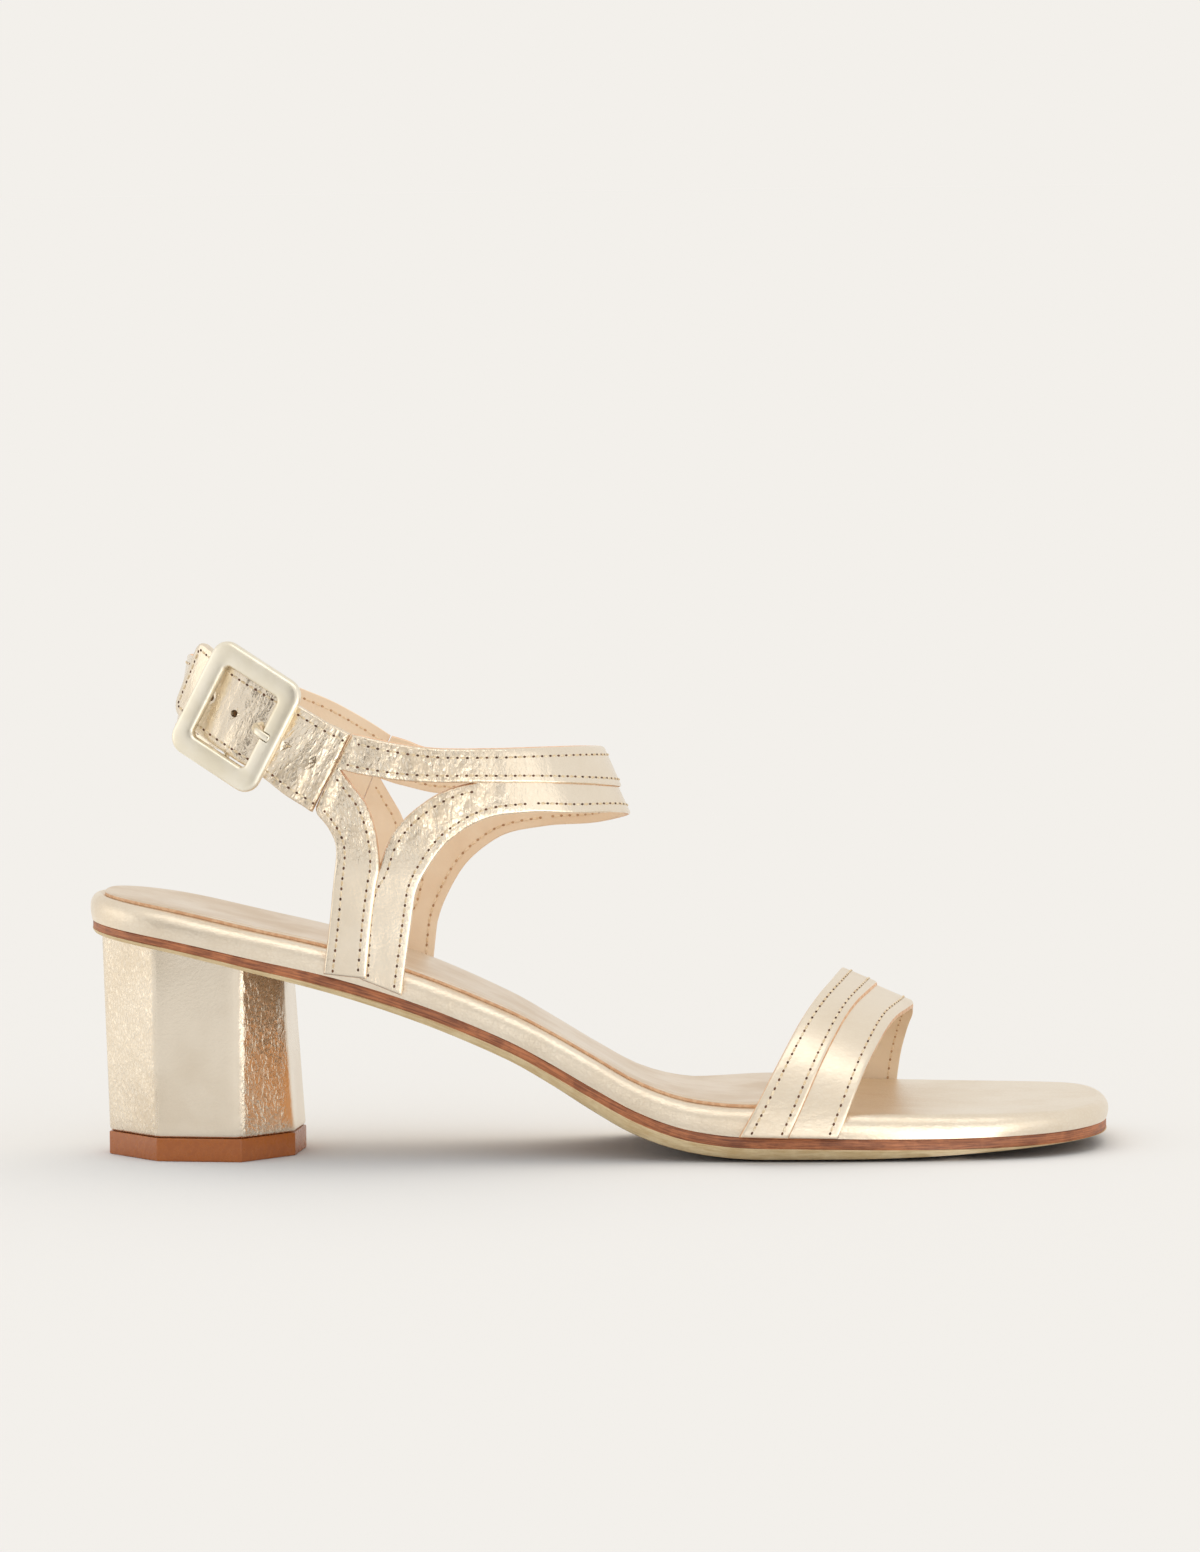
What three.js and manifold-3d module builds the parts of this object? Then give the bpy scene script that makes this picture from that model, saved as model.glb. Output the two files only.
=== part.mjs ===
// A right ankle strap sandal on an octagonal block heel.
// X runs from heel to toe, Y towards the wearer's inner side, Z up from the floor.
import * as THREE from 'three';
import Module from 'manifold-3d';

const wasm = await Module();
wasm.setup();

// Sole, in millimetres
const length = 242;
const ballWidth = 80;
const heelHeight = 52;
const toeSpring = 3.2;
const waistDrop = 2.9;
const outsoleThickness = 3.4;
const outsoleBevel = 2.4;
const soleCrown = 0.8;
const midsoleThickness = 2.2;
const midsoleInset = 0.5;
const footbedThickness = 6.4;
const footbedRim = 3.2;
const footbedDish = 0.5;
const sockInset = 3.5;
const sockThickness = 0.9;
const sockEnd = 172;
const clearance = 0.3;

// Heel
const heelLength = 45.2;
const heelWidth = 46;
const heelBack = 4.6;
const heelShift = -4;
const heelYaw = THREE.MathUtils.degToRad(-6);
const liftThickness = 5.5;

// Front strap
const archRise = 33.6;
const archBow = 2.1;
const archRidge = 0.56;
const vampWall = 1.7;
const vampLap = 0.8;
const vampLapShare = 0.5;

// Ankle straps
const legAt = 66;
const legRun = [-9, -5, 0, 9, 14];
const instepRise = 50;
const ankleFlare = 6.5;
const ankleBow = 2.2;
const ankleBowChange = 0.2;
const upperWall = 1.8;
const upperLap = 0.8;
const strapWidth = 19;
const strapThickness = 1.4;
const strapFlare = 0.09;
const tipNarrowing = 0.22;
const seamGap = 0.6;
const backStrapThickness = 1.6;
const tilt = 0.09;
const spread = 0.0035;
const holePitch = 6.9;
const holeDiameter = 2.2;

// Buckle
const frameLength = 25.8;
const frameWidth = 29.4;
const openingLength = 16.2;
const openingWidth = 19;
const frameThickness = 2.4;
const frameHeight = 4.9;
const frameCorner = 4.2;
const frameEdge = 0.7;
const openingCorner = 1.2;
const barDiameter = 1.6;
const barHeight = 1.1;
const barLegAt = 11.4;
const loopWall = 0.7;
const pinDiameter = 1.5;
const pinReach = 5.5;
const pinSeat = 2.4;

// Fineness of the lofts
const soleStations = 34;
const capColumns = 4;
const archSteps = 30;
const ankleTurns = 60;
const strapSteps = 22;
const frameCornerSteps = 4;
const patternSteps = 24;
const far = 60;

// Outline of the sole: sweep runs from heel to toe, both sides as shares of the ball width.
const outline = [
  { sweep: 0.0, lateral: 0.0, medial: 0.0 },
  { sweep: 0.05, lateral: 0.125, medial: 0.118 },
  { sweep: 0.1, lateral: 0.224, medial: 0.199 },
  { sweep: 0.15, lateral: 0.296, medial: 0.256 },
  { sweep: 0.2, lateral: 0.337, medial: 0.286 },
  { sweep: 0.25, lateral: 0.361, medial: 0.286 },
  { sweep: 0.3, lateral: 0.37, medial: 0.269 },
  { sweep: 0.35, lateral: 0.374, medial: 0.244 },
  { sweep: 0.4, lateral: 0.381, medial: 0.228 },
  { sweep: 0.45, lateral: 0.4, medial: 0.231 },
  { sweep: 0.5, lateral: 0.434, medial: 0.276 },
  { sweep: 0.55, lateral: 0.47, medial: 0.35 },
  { sweep: 0.6, lateral: 0.496, medial: 0.416 },
  { sweep: 0.65, lateral: 0.508, medial: 0.464 },
  { sweep: 0.7, lateral: 0.505, medial: 0.484 },
  { sweep: 0.75, lateral: 0.488, medial: 0.485 },
  { sweep: 0.8, lateral: 0.454, medial: 0.472 },
  { sweep: 0.85, lateral: 0.394, medial: 0.441 },
  { sweep: 0.9, lateral: 0.305, medial: 0.375 },
  { sweep: 0.95, lateral: 0.185, medial: 0.228 },
  { sweep: 1.0, lateral: 0.012, medial: -0.012 },
];

// Side of the sole by share of the length: the underside as shares of the waist's drop on the
// inner side, heel height and toe spring, and the layers as shares of their own thickness.
const profile = [
  { at: 0.0, drop: 0, heel: 1.023, toe: 0, outsole: 0.26, midsole: 0.7, footbed: 1.0 },
  { at: 0.083, drop: 0, heel: 0.954, toe: 0, outsole: 0.28, midsole: 0.75, footbed: 1.0 },
  { at: 0.165, drop: 0, heel: 0.862, toe: 0, outsole: 0.32, midsole: 0.85, footbed: 0.98 },
  { at: 0.248, drop: 0, heel: 0.758, toe: 0, outsole: 0.42, midsole: 1.0, footbed: 0.98 },
  { at: 0.331, drop: 0, heel: 0.625, toe: 0, outsole: 0.54, midsole: 1.0, footbed: 0.98 },
  { at: 0.413, drop: 0.36, heel: 0.462, toe: 0, outsole: 0.62, midsole: 1.0, footbed: 1.0 },
  { at: 0.455, drop: 0.74, heel: 0.352, toe: 0, outsole: 0.72, midsole: 1.0, footbed: 1.04 },
  { at: 0.496, drop: 1, heel: 0.231, toe: 0, outsole: 0.88, midsole: 1.0, footbed: 1.06 },
  { at: 0.537, drop: 1, heel: 0.121, toe: 0, outsole: 0.98, midsole: 1.0, footbed: 1.0 },
  { at: 0.579, drop: 0.7, heel: 0.047, toe: 0, outsole: 1.0, midsole: 1.0, footbed: 0.98 },
  { at: 0.62, drop: 0.32, heel: 0.012, toe: 0, outsole: 1.0, midsole: 1.0, footbed: 1.0 },
  { at: 0.661, drop: 0.1, heel: 0, toe: 0, outsole: 1.0, midsole: 1.0, footbed: 1.02 },
  { at: 0.76, drop: 0, heel: 0, toe: 0, outsole: 0.88, midsole: 1.0, footbed: 0.92 },
  { at: 0.826, drop: 0, heel: 0, toe: 0.14, outsole: 0.7, midsole: 1.0, footbed: 0.86 },
  { at: 0.888, drop: 0, heel: 0, toe: 0.4, outsole: 0.48, midsole: 1.0, footbed: 0.8 },
  { at: 0.95, drop: 0, heel: 0, toe: 0.72, outsole: 0.28, midsole: 1.0, footbed: 0.74 },
  { at: 1.0, drop: 0, heel: 0, toe: 1.0, outsole: 0.2, midsole: 1.0, footbed: 0.7 },
];

// Wrapped side of the footbed: share of its thickness and of the rim's run.
const footbedSide = [
  { level: 0, run: 0.1 },
  { level: 0.3, run: 0 },
  { level: 0.62, run: 0.03 },
  { level: 0.86, run: 0.28 },
  { level: 0.97, run: 0.62 },
  { level: 1, run: 1 },
];

// Heel plan: stations along it at the floor and at the sole, and half widths, as shares.
const heelPlan = [
  { low: 0, high: -0.026, half: 0.13 },
  { low: 0.314, high: 0.308, half: 0.457 },
  { low: 0.768, high: 0.778, half: 0.493 },
  { low: 1, high: 0.949, half: 0.174 },
];

// Front strap: its rear and front edge, as shares of the length, round the arch in degrees.
const vampEdges = [
  { turn: 0, rear: 0.638, front: 0.7335 },
  { turn: 18.5, rear: 0.6686, front: 0.7574 },
  { turn: 34, rear: 0.693, front: 0.776 },
  { turn: 51, rear: 0.716, front: 0.791 },
  { turn: 67, rear: 0.73, front: 0.802 },
  { turn: 90, rear: 0.738, front: 0.809 },
  { turn: 113, rear: 0.7376, front: 0.8095 },
  { turn: 130, rear: 0.7293, front: 0.8095 },
  { turn: 147, rear: 0.7169, front: 0.8037 },
  { turn: 161, rear: 0.7066, front: 0.7975 },
  { turn: 180, rear: 0.6963, front: 0.7913 },
];

// Height of the last over the toes, as a share of the arch's rise.
const archProfile = [
  { at: 0.62, rise: 1.3 },
  { at: 0.7372, rise: 1 },
  { at: 0.82, rise: 0.74 },
];

// Level sections of the ankle: rise above the footbed at the legs as a share of the instep's,
// ends as shares of the length, sides as shares of the flare.
const ankleSections = [
  { rise: -0.4, back: 0.06, front: 0.64, lateral: 0, medial: 0 },
  { rise: 0.04, back: 0.074, front: 0.587, lateral: 0.05, medial: 0.12 },
  { rise: 0.44, back: 0.083, front: 0.545, lateral: 0.25, medial: 0.5 },
  { rise: 0.74, back: 0.089, front: 0.5165, lateral: 0.42, medial: 0.82 },
  { rise: 0.98, back: 0.0934, front: 0.495, lateral: 0.48, medial: 1 },
  { rise: 1.24, back: 0.101, front: 0.473, lateral: 0.4, medial: 1 },
  { rise: 1.6, back: 0.117, front: 0.446, lateral: 0.2, medial: 0.9 },
];

// Edges of the side pattern, each from one end to the other: along as shares of the length,
// rise as shares of the instep's.
const topEdge = [
  { along: 0.269, rise: 1.066 },
  { along: 0.286, rise: 1.047 },
  { along: 0.306, rise: 1.024 },
  { along: 0.346, rise: 0.996 },
  { along: 0.397, rise: 0.992 },
  { along: 0.45, rise: 1.0 },
  { along: 0.49, rise: 1.008 },
  { along: 0.6, rise: 1.012 },
];
const lapEdge = [
  { along: 0.6, rise: 0.836 },
  { along: 0.508, rise: 0.832 },
  { along: 0.449, rise: 0.834 },
  { along: 0.386, rise: 0.832 },
  { along: 0.325, rise: 0.838 },
  { along: 0.276, rise: 0.874 },
  { along: 0.257, rise: 0.898 },
];
const rearLegFront = [
  { along: 0.257, rise: 0.898 },
  { along: 0.268, rise: 0.824 },
  { along: 0.2815, rise: 0.73 },
  { along: 0.29, rise: 0.598 },
  { along: 0.2925, rise: 0.446 },
  { along: 0.2885, rise: 0.336 },
  { along: 0.283, rise: 0.16 },
  { along: 0.2765, rise: -0.122 },
  { along: 0.274, rise: -0.3 },
];
const rearLegBack = [
  { along: 0.229, rise: -0.3 },
  { along: 0.2355, rise: -0.052 },
  { along: 0.242, rise: 0.162 },
  { along: 0.2475, rise: 0.38 },
  { along: 0.251, rise: 0.53 },
  { along: 0.2445, rise: 0.62 },
  { along: 0.2335, rise: 0.694 },
  { along: 0.2325, rise: 0.726 },
];
const frontLegBack = [
  { along: 0.268, rise: -0.3 },
  { along: 0.2745, rise: 0.16 },
  { along: 0.2805, rise: 0.336 },
  { along: 0.2915, rise: 0.43 },
  { along: 0.301, rise: 0.554 },
  { along: 0.3155, rise: 0.652 },
  { along: 0.336, rise: 0.736 },
  { along: 0.359, rise: 0.8 },
  { along: 0.3855, rise: 0.834 },
];
const lowerEdge = [
  { along: 0.6, rise: 0.728 },
  { along: 0.52, rise: 0.714 },
  { along: 0.4825, rise: 0.698 },
  { along: 0.439, rise: 0.696 },
  { along: 0.405, rise: 0.676 },
  { along: 0.3825, rise: 0.634 },
  { along: 0.358, rise: 0.55 },
  { along: 0.3405, rise: 0.442 },
  { along: 0.3285, rise: 0.334 },
  { along: 0.3235, rise: 0.218 },
  { along: 0.3115, rise: -0.162 },
  { along: 0.309, rise: -0.3 },
];

// How far the side pattern leads on the inner side, as a share of the way across.
const innerLead = [
  { along: 0.2, lead: 0.09 },
  { along: 0.28, lead: 0.09 },
  { along: 0.33, lead: 0.042 },
  { along: 0.39, lead: 0.036 },
  { along: 0.47, lead: 0.07 },
  { along: 0.6, lead: 0.077 },
];

// Middle lines of the two ankle straps, round the ankle in degrees from the front.
const buckleStrapPath = [
  { turn: 107, rise: 0.85 },
  { turn: 119.5, rise: 0.952 },
  { turn: 127.4, rise: 1.036 },
  { turn: 136.3, rise: 1.118 },
  { turn: 142.2, rise: 1.17 },
  { turn: 152.6, rise: 1.264 },
  { turn: 160.8, rise: 1.328 },
];
const backStrapPath = [
  { turn: 139.4, rise: 1.147 },
  { turn: 160, rise: 1.215 },
  { turn: 180, rise: 1.222 },
  { turn: 205, rise: 1.174 },
  { turn: 234, rise: 0.986 },
  { turn: 246, rise: 0.884 },
  { turn: 260, rise: 0.76 },
];

// Height of the outer strap above the ankle, by its distance from the bar.
const strapLift = [
  { reach: -30, lift: 2.4 },
  { reach: -13, lift: 3.0 },
  { reach: -7.5, lift: 3.1 },
  { reach: 0, lift: 3.2 },
  { reach: 7.5, lift: 3.1 },
  { reach: 13, lift: 2.4 },
  { reach: 24, lift: 0.8 },
  { reach: 36, lift: 0.3 },
];

// A smooth value between the rows of a table, ordered by one column.
function tableValue(rows, by, key, at) {
  const last = rows.length - 1;
  let row = 0;
  while (row < last - 1 && at > rows[row + 1][by]) {
    row += 1;
  }
  const slope = (index) => {
    const before = rows[Math.max(index - 1, 0)];
    const after = rows[Math.min(index + 1, last)];
    return (after[key] - before[key]) / (after[by] - before[by]);
  };
  const span = rows[row + 1][by] - rows[row][by];
  const t = THREE.MathUtils.clamp((at - rows[row][by]) / span, 0, 1);
  const t2 = t * t;
  const t3 = t2 * t;
  return (2 * t3 - 3 * t2 + 1) * rows[row][key]
    + (t3 - 2 * t2 + t) * span * slope(row)
    + (3 * t2 - 2 * t3) * rows[row + 1][key]
    + (t3 - t2) * span * slope(row + 1);
}

// A mesh's surface from points and triangles, turned outward.
function closedGeometry(points, triangles) {
  let volume = 0;
  for (const [a, b, c] of triangles) {
    volume += points[a].dot(new THREE.Vector3().crossVectors(points[b], points[c]));
  }
  const faces = volume < 0 ? triangles.map(([a, b, c]) => [a, c, b]) : triangles;
  const geometry = new THREE.BufferGeometry();
  const coordinates = points.flatMap((point) => [point.x, point.y, point.z]);
  geometry.setAttribute('position', new THREE.Float32BufferAttribute(coordinates, 3));
  geometry.setIndex(faces.flat());
  return geometry;
}

// A body lofted through rings of equal count. Its section, drawn flat, closes both ends.
function loft(rings, section) {
  const count = section.length;
  const points = rings.flat();
  const triangles = [];
  for (let ring = 0; ring < rings.length - 1; ring += 1) {
    for (let k = 0; k < count; k += 1) {
      const a = ring * count + k;
      const b = ring * count + ((k + 1) % count);
      triangles.push([a, b, b + count], [a, b + count, a + count]);
    }
  }
  const cap = THREE.ShapeUtils.triangulateShape(section, []);
  const turned = THREE.ShapeUtils.area(section) > 0;
  const end = (rings.length - 1) * count;
  for (const [a, b, c] of cap) {
    triangles.push(turned ? [a, c, b] : [a, b, c]);
    triangles.push(turned ? [end + a, end + b, end + c] : [end + a, end + c, end + b]);
  }
  return closedGeometry(points, triangles);
}

function toSolid(geometry) {
  const points = geometry.getAttribute('position');
  const keys = new Map();
  const vertices = [];
  const merged = [];
  for (let i = 0; i < points.count; i += 1) {
    const place = [points.getX(i), points.getY(i), points.getZ(i)];
    const key = place.map((value) => Math.round(value * 1e4) + 0).join(' ');
    if (!keys.has(key)) {
      keys.set(key, vertices.length / 3);
      vertices.push(...place);
    }
    merged.push(keys.get(key));
  }
  const order = geometry.index ? Array.from(geometry.index.array) : merged.map((_, i) => i);
  const corners = [];
  for (let i = 0; i < order.length; i += 3) {
    const [a, b, c] = [merged[order[i]], merged[order[i + 1]], merged[order[i + 2]]];
    if (a !== b && b !== c && c !== a) {
      corners.push(a, b, c);
    }
  }
  return new wasm.Manifold(new wasm.Mesh({
    numProp: 3,
    vertProperties: new Float32Array(vertices),
    triVerts: new Uint32Array(corners),
  }));
}

function fromSolid(solid) {
  const mesh = solid.getMesh();
  const geometry = new THREE.BufferGeometry();
  geometry.setAttribute('position', new THREE.BufferAttribute(new Float32Array(mesh.vertProperties), 3));
  geometry.setIndex(new THREE.BufferAttribute(new Uint32Array(mesh.triVerts), 1));
  return geometry;
}

// Distance of one side of the outline from the heel's middle line at a sweep from 0 to 1.
function sweepPoint(sweep, side) {
  const x = (length / 2) * (1 - Math.cos(Math.PI * sweep));
  const y = ballWidth * tableValue(outline, 'sweep', side, sweep);
  return new THREE.Vector2(x, side === 'lateral' ? -y : y);
}

function outlinePoint(sweep, side, inset) {
  const step = 0.002;
  const before = sweepPoint(Math.max(sweep - step, 0), side);
  const after = sweepPoint(Math.min(sweep + step, 1), side);
  const along = after.sub(before);
  if (sweep === 0 || sweep === 1) {
    along.set(0, side === 'lateral' ? 2 * sweep - 1 : 1 - 2 * sweep);
  }
  const inward = new THREE.Vector2(-along.y, along.x).normalize();
  if (side === 'medial') {
    inward.negate();
  }
  return sweepPoint(sweep, side).addScaledVector(inward, inset);
}

// Signed Y of the outline beside a station of X.
function edgeAt(x, side) {
  const sweep = Math.acos(THREE.MathUtils.clamp(1 - (2 * x) / length, -1, 1)) / Math.PI;
  return sweepPoint(sweep, side).y;
}

const share = (key, x) => tableValue(profile, 'at', key, x / length);
const outsoleBottom = (x, across = 0) => {
  const heel = heelHeight * share('heel', x);
  const drop = across * waistDrop * share('drop', x);
  return Math.max(heel + toeSpring * share('toe', x) - drop, 0);
};
const outsoleTop = (x, across) => outsoleBottom(x, across) + outsoleThickness * share('outsole', x);
const midsoleBottom = (x, across) => outsoleTop(x, across) + clearance;
const midsoleTop = (x, across) => midsoleBottom(x, across) + midsoleThickness * share('midsole', x);
const footbedBottom = (x, across) => midsoleTop(x, across) + clearance;
const footbedTop = (x, across) => footbedBottom(x, across) + footbedThickness * share('footbed', x);

// Heights of the sole hold at a station of X and a share of the way across, from the outer side
// at 0 to the inner at 1. A layer has levels from the bottom up, each with an inset and a height,
// and its two faces may be bowed across.
function soleLayer(levels, bottomBow, topBow) {
  const points = [];
  const triangles = [];
  const place = (level, sweep, side) => {
    const rough = sweepPoint(sweep, side);
    const plan = outlinePoint(sweep, side, level.inset(rough.x));
    return new THREE.Vector3(plan.x, plan.y, level.height(plan.x, side === 'lateral' ? 0 : 1));
  };
  const rings = levels.map((level, index) => {
    const bow = index === 0 ? bottomBow : index === levels.length - 1 ? topBow : () => 0;
    const lateral = [];
    const medial = [];
    for (let i = 0; i <= soleStations; i += 1) {
      const sweep = i / soleStations;
      const near = place(level, sweep, 'lateral');
      near.z += bow(0, near.x);
      lateral.push(points.push(near) - 1);
      if (i === 0 || i === soleStations) {
        medial.push(lateral[i]);
      } else {
        const away = place(level, sweep, 'medial');
        away.z += bow(1, away.x);
        medial.push(points.push(away) - 1);
      }
    }
    return { lateral, medial };
  });
  for (let level = 0; level < rings.length - 1; level += 1) {
    for (const side of ['lateral', 'medial']) {
      const low = rings[level][side];
      const high = rings[level + 1][side];
      for (let i = 0; i < soleStations; i += 1) {
        const quad = [low[i], low[i + 1], high[i + 1], high[i]];
        const [a, b, c, d] = side === 'lateral' ? quad : [quad[1], quad[0], quad[3], quad[2]];
        triangles.push([a, b, c], [a, c, d]);
      }
    }
  }
  const capRows = (ring, level, bow) => ring.lateral.map((near, i) => {
    const away = ring.medial[i];
    if (near === away) {
      return Array(capColumns + 1).fill(near);
    }
    const row = [near];
    for (let k = 1; k < capColumns; k += 1) {
      const across = k / capColumns;
      const point = new THREE.Vector3().lerpVectors(points[near], points[away], across);
      point.z = level.height(point.x, across) + bow(across, point.x);
      row.push(points.push(point) - 1);
    }
    row.push(away);
    return row;
  });
  const cap = (ring, level, bow, up) => {
    const rows = capRows(ring, level, bow);
    for (let i = 0; i < soleStations; i += 1) {
      for (let k = 0; k < capColumns; k += 1) {
        const [a, b, c, d] = [rows[i][k], rows[i + 1][k], rows[i + 1][k + 1], rows[i][k + 1]];
        const pair = up ? [[a, b, c], [a, c, d]] : [[a, c, b], [a, d, c]];
        triangles.push(...pair.filter(([p, q, r]) => p !== q && q !== r && r !== p));
      }
    }
  };
  cap(rings[0], levels[0], bottomBow, false);
  cap(rings.at(-1), levels.at(-1), topBow, true);
  return closedGeometry(points, triangles);
}

const flat = () => 0;
const forefoot = (x) => THREE.MathUtils.smoothstep(x / length, 0.5, 0.6);
const dish = (across) => -footbedDish * Math.sin(Math.PI * across);
const crown = (across, x) => soleCrown * forefoot(x) * Math.abs(2 * across - 1) ** 4;

const outsoleGeometry = soleLayer([
  { inset: (x) => midsoleInset + outsoleBevel * share('outsole', x), height: outsoleBottom },
  { inset: () => midsoleInset, height: outsoleTop },
], crown, flat);

const midsoleGeometry = soleLayer([
  { inset: () => midsoleInset, height: midsoleBottom },
  { inset: () => midsoleInset, height: midsoleTop },
], flat, flat);

const footbedGeometry = soleLayer(footbedSide.map((row) => ({
  inset: () => footbedRim * row.run,
  height: (x, across) => (
    THREE.MathUtils.lerp(footbedBottom(x, across), footbedTop(x, across), row.level)
  ),
})), flat, dish);

// The sock is the footbed's top face, drawn in from the rim and rounded off under the strap.
function sockBody() {
  const sheet = soleLayer([
    { inset: () => sockInset, height: (...at) => footbedTop(...at) + clearance },
    { inset: () => sockInset, height: (...at) => footbedTop(...at) + clearance + sockThickness },
  ], dish, dish);
  const corner = ballWidth / 2;
  const plan = new THREE.Shape();
  plan.moveTo(-corner, -far);
  plan.lineTo(sockEnd - corner, -far);
  plan.quadraticCurveTo(sockEnd, -corner, sockEnd, 0);
  plan.quadraticCurveTo(sockEnd, corner, sockEnd - corner, far);
  plan.lineTo(-corner, far);
  const cutter = new THREE.ExtrudeGeometry(plan, { depth: 2 * heelHeight, bevelEnabled: false });
  return fromSolid(toSolid(sheet).intersect(toSolid(cutter)));
}

// An eight-sided ring of the heel at a level from 0 at the floor to 1 at the sole.
function heelRing(level, z) {
  const stations = heelPlan.map(({ low, high, half }) => (
    { at: THREE.MathUtils.lerp(low, high, level), half }
  ));
  const corners = [
    ...stations.map(({ at, half }) => ({ at, half: -half })),
    ...stations.slice().reverse(),
  ];
  return corners.map(({ at, half }) => {
    const spot = new THREE.Vector2((at - 0.5) * heelLength, half * heelWidth);
    spot.rotateAround(new THREE.Vector2(), heelYaw);
    return new THREE.Vector3(heelBack + heelLength / 2 + spot.x, heelShift + spot.y, z);
  });
}

function heelLoft(low, high, lowLevel, highLevel) {
  const rings = [heelRing(lowLevel, low), heelRing(highLevel, high)];
  return loft(rings, rings[0].map((point) => new THREE.Vector2(point.x, point.y)));
}

// A slab across the whole shoe under or over a line of heights.
function slab(height, from, to, closingLevel) {
  const steps = 24;
  const shape = new THREE.Shape();
  shape.moveTo(from, closingLevel);
  for (let i = 0; i <= steps; i += 1) {
    const x = THREE.MathUtils.lerp(from, to, i / steps);
    shape.lineTo(x, height(THREE.MathUtils.clamp(x, 0, length)));
  }
  shape.lineTo(to, closingLevel);
  const geometry = new THREE.ExtrudeGeometry(shape, { depth: 2 * far, bevelEnabled: false });
  geometry.rotateX(Math.PI / 2);
  geometry.translate(0, far, 0);
  return toSolid(geometry);
}

function heelBody() {
  const block = toSolid(heelLoft(liftThickness + clearance, heelHeight * 1.1, 0, 1));
  const under = slab((x) => outsoleBottom(x) - clearance, -far, heelLength + far, 0);
  return fromSolid(block.intersect(under));
}

// A point of the arch over the toes, turned from 0 at the outer side to 180 at the inner.
function archPoint(x, turn, offset) {
  const outer = edgeAt(x, 'lateral') - clearance;
  const inner = edgeAt(x, 'medial') + clearance;
  const ridge = THREE.MathUtils.lerp(outer, inner, archRidge);
  const half = turn < 90 ? ridge - outer : inner - ridge;
  const rise = archRise * tableValue(archProfile, 'at', 'rise', x / length);
  const angle = THREE.MathUtils.degToRad(turn);
  const across = Math.abs(Math.cos(angle));
  const up = Math.max(Math.sin(angle), 0);
  const reach = ((across / half) ** archBow + (up / rise) ** archBow) ** (-1 / archBow);
  const normal = new THREE.Vector2(
    -Math.sign(Math.cos(angle)) * (across * reach / half) ** (archBow - 1) / half,
    (up * reach / rise) ** (archBow - 1) / rise,
  ).normalize();
  return new THREE.Vector3(
    x,
    ridge - Math.cos(angle) * reach + normal.x * offset,
    midsoleTop(x) + clearance + up * reach + normal.y * offset,
  );
}

// The front strap's section from rear to front, with the lap's step in its outer face.
const vampSection = [
  ...[0, 0.5, 0.98].map((at) => ({ at: at * vampLapShare, offset: vampWall + vampLap })),
  ...[1, 1.35, 1.7, 2].map((at) => ({ at: at * vampLapShare, offset: vampWall })),
  ...[1, 0.75, 0.5, 0.25, 0].map((at) => ({ at, offset: 0 })),
];

function vampBody() {
  const rings = [];
  for (let step = 0; step <= archSteps; step += 1) {
    const turn = 180 * (step / archSteps);
    const rear = length * tableValue(vampEdges, 'turn', 'rear', turn);
    const front = length * tableValue(vampEdges, 'turn', 'front', turn);
    rings.push(vampSection.map(({ at, offset }) => (
      archPoint(THREE.MathUtils.lerp(rear, front, at), turn, offset)
    )));
  }
  const section = vampSection.map(({ at, offset }) => new THREE.Vector2(at * strapWidth, offset));
  return loft(rings, section);
}

const legBase = footbedTop(legAt);
const riseHeight = (rise) => legBase + instepRise * rise;
const legOuter = Math.max(...legRun.map((step) => -edgeAt(legAt + step, 'lateral')));
const legInner = Math.max(...legRun.map((step) => edgeAt(legAt + step, 'medial')));

// A point of the ankle, turned in degrees from the front by way of the outer side.
function anklePoint(turn, rise, offset) {
  const value = (key) => tableValue(ankleSections, 'rise', key, rise);
  const back = length * value('back');
  const front = length * value('front');
  const outer = legOuter + 2 * clearance + ankleFlare * value('lateral');
  const inner = legInner + 2 * clearance + ankleFlare * value('medial');
  const halfLength = (front - back) / 2;
  const halfWidth = (outer + inner) / 2;
  const angle = THREE.MathUtils.degToRad(turn);
  const bow = ankleBow - ankleBowChange * Math.cos(angle);
  const along = Math.cos(angle);
  const across = -Math.sin(angle);
  const size = Math.abs(along / halfLength) ** bow + Math.abs(across / halfWidth) ** bow;
  const reach = size ** (-1 / bow);
  const normal = new THREE.Vector2(
    Math.sign(along) * Math.abs((along * reach) / halfLength) ** (bow - 1) / halfLength,
    Math.sign(across) * Math.abs((across * reach) / halfWidth) ** (bow - 1) / halfWidth,
  ).normalize();
  return new THREE.Vector3(
    (front + back) / 2 + along * reach + normal.x * offset,
    (inner - outer) / 2 + across * reach + normal.y * offset,
    riseHeight(rise),
  );
}

function ankleCore(offset) {
  const rings = [];
  const levels = 11;
  for (let level = 0; level <= levels; level += 1) {
    const rise = THREE.MathUtils.lerp(-0.4, 1.2, level / levels);
    const ring = [];
    for (let k = 0; k < ankleTurns; k += 1) {
      ring.push(anklePoint((360 * k) / ankleTurns, rise, offset));
    }
    rings.push(ring);
  }
  return toSolid(loft(rings, rings[0].map((point) => new THREE.Vector2(point.x, point.y))));
}

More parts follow.
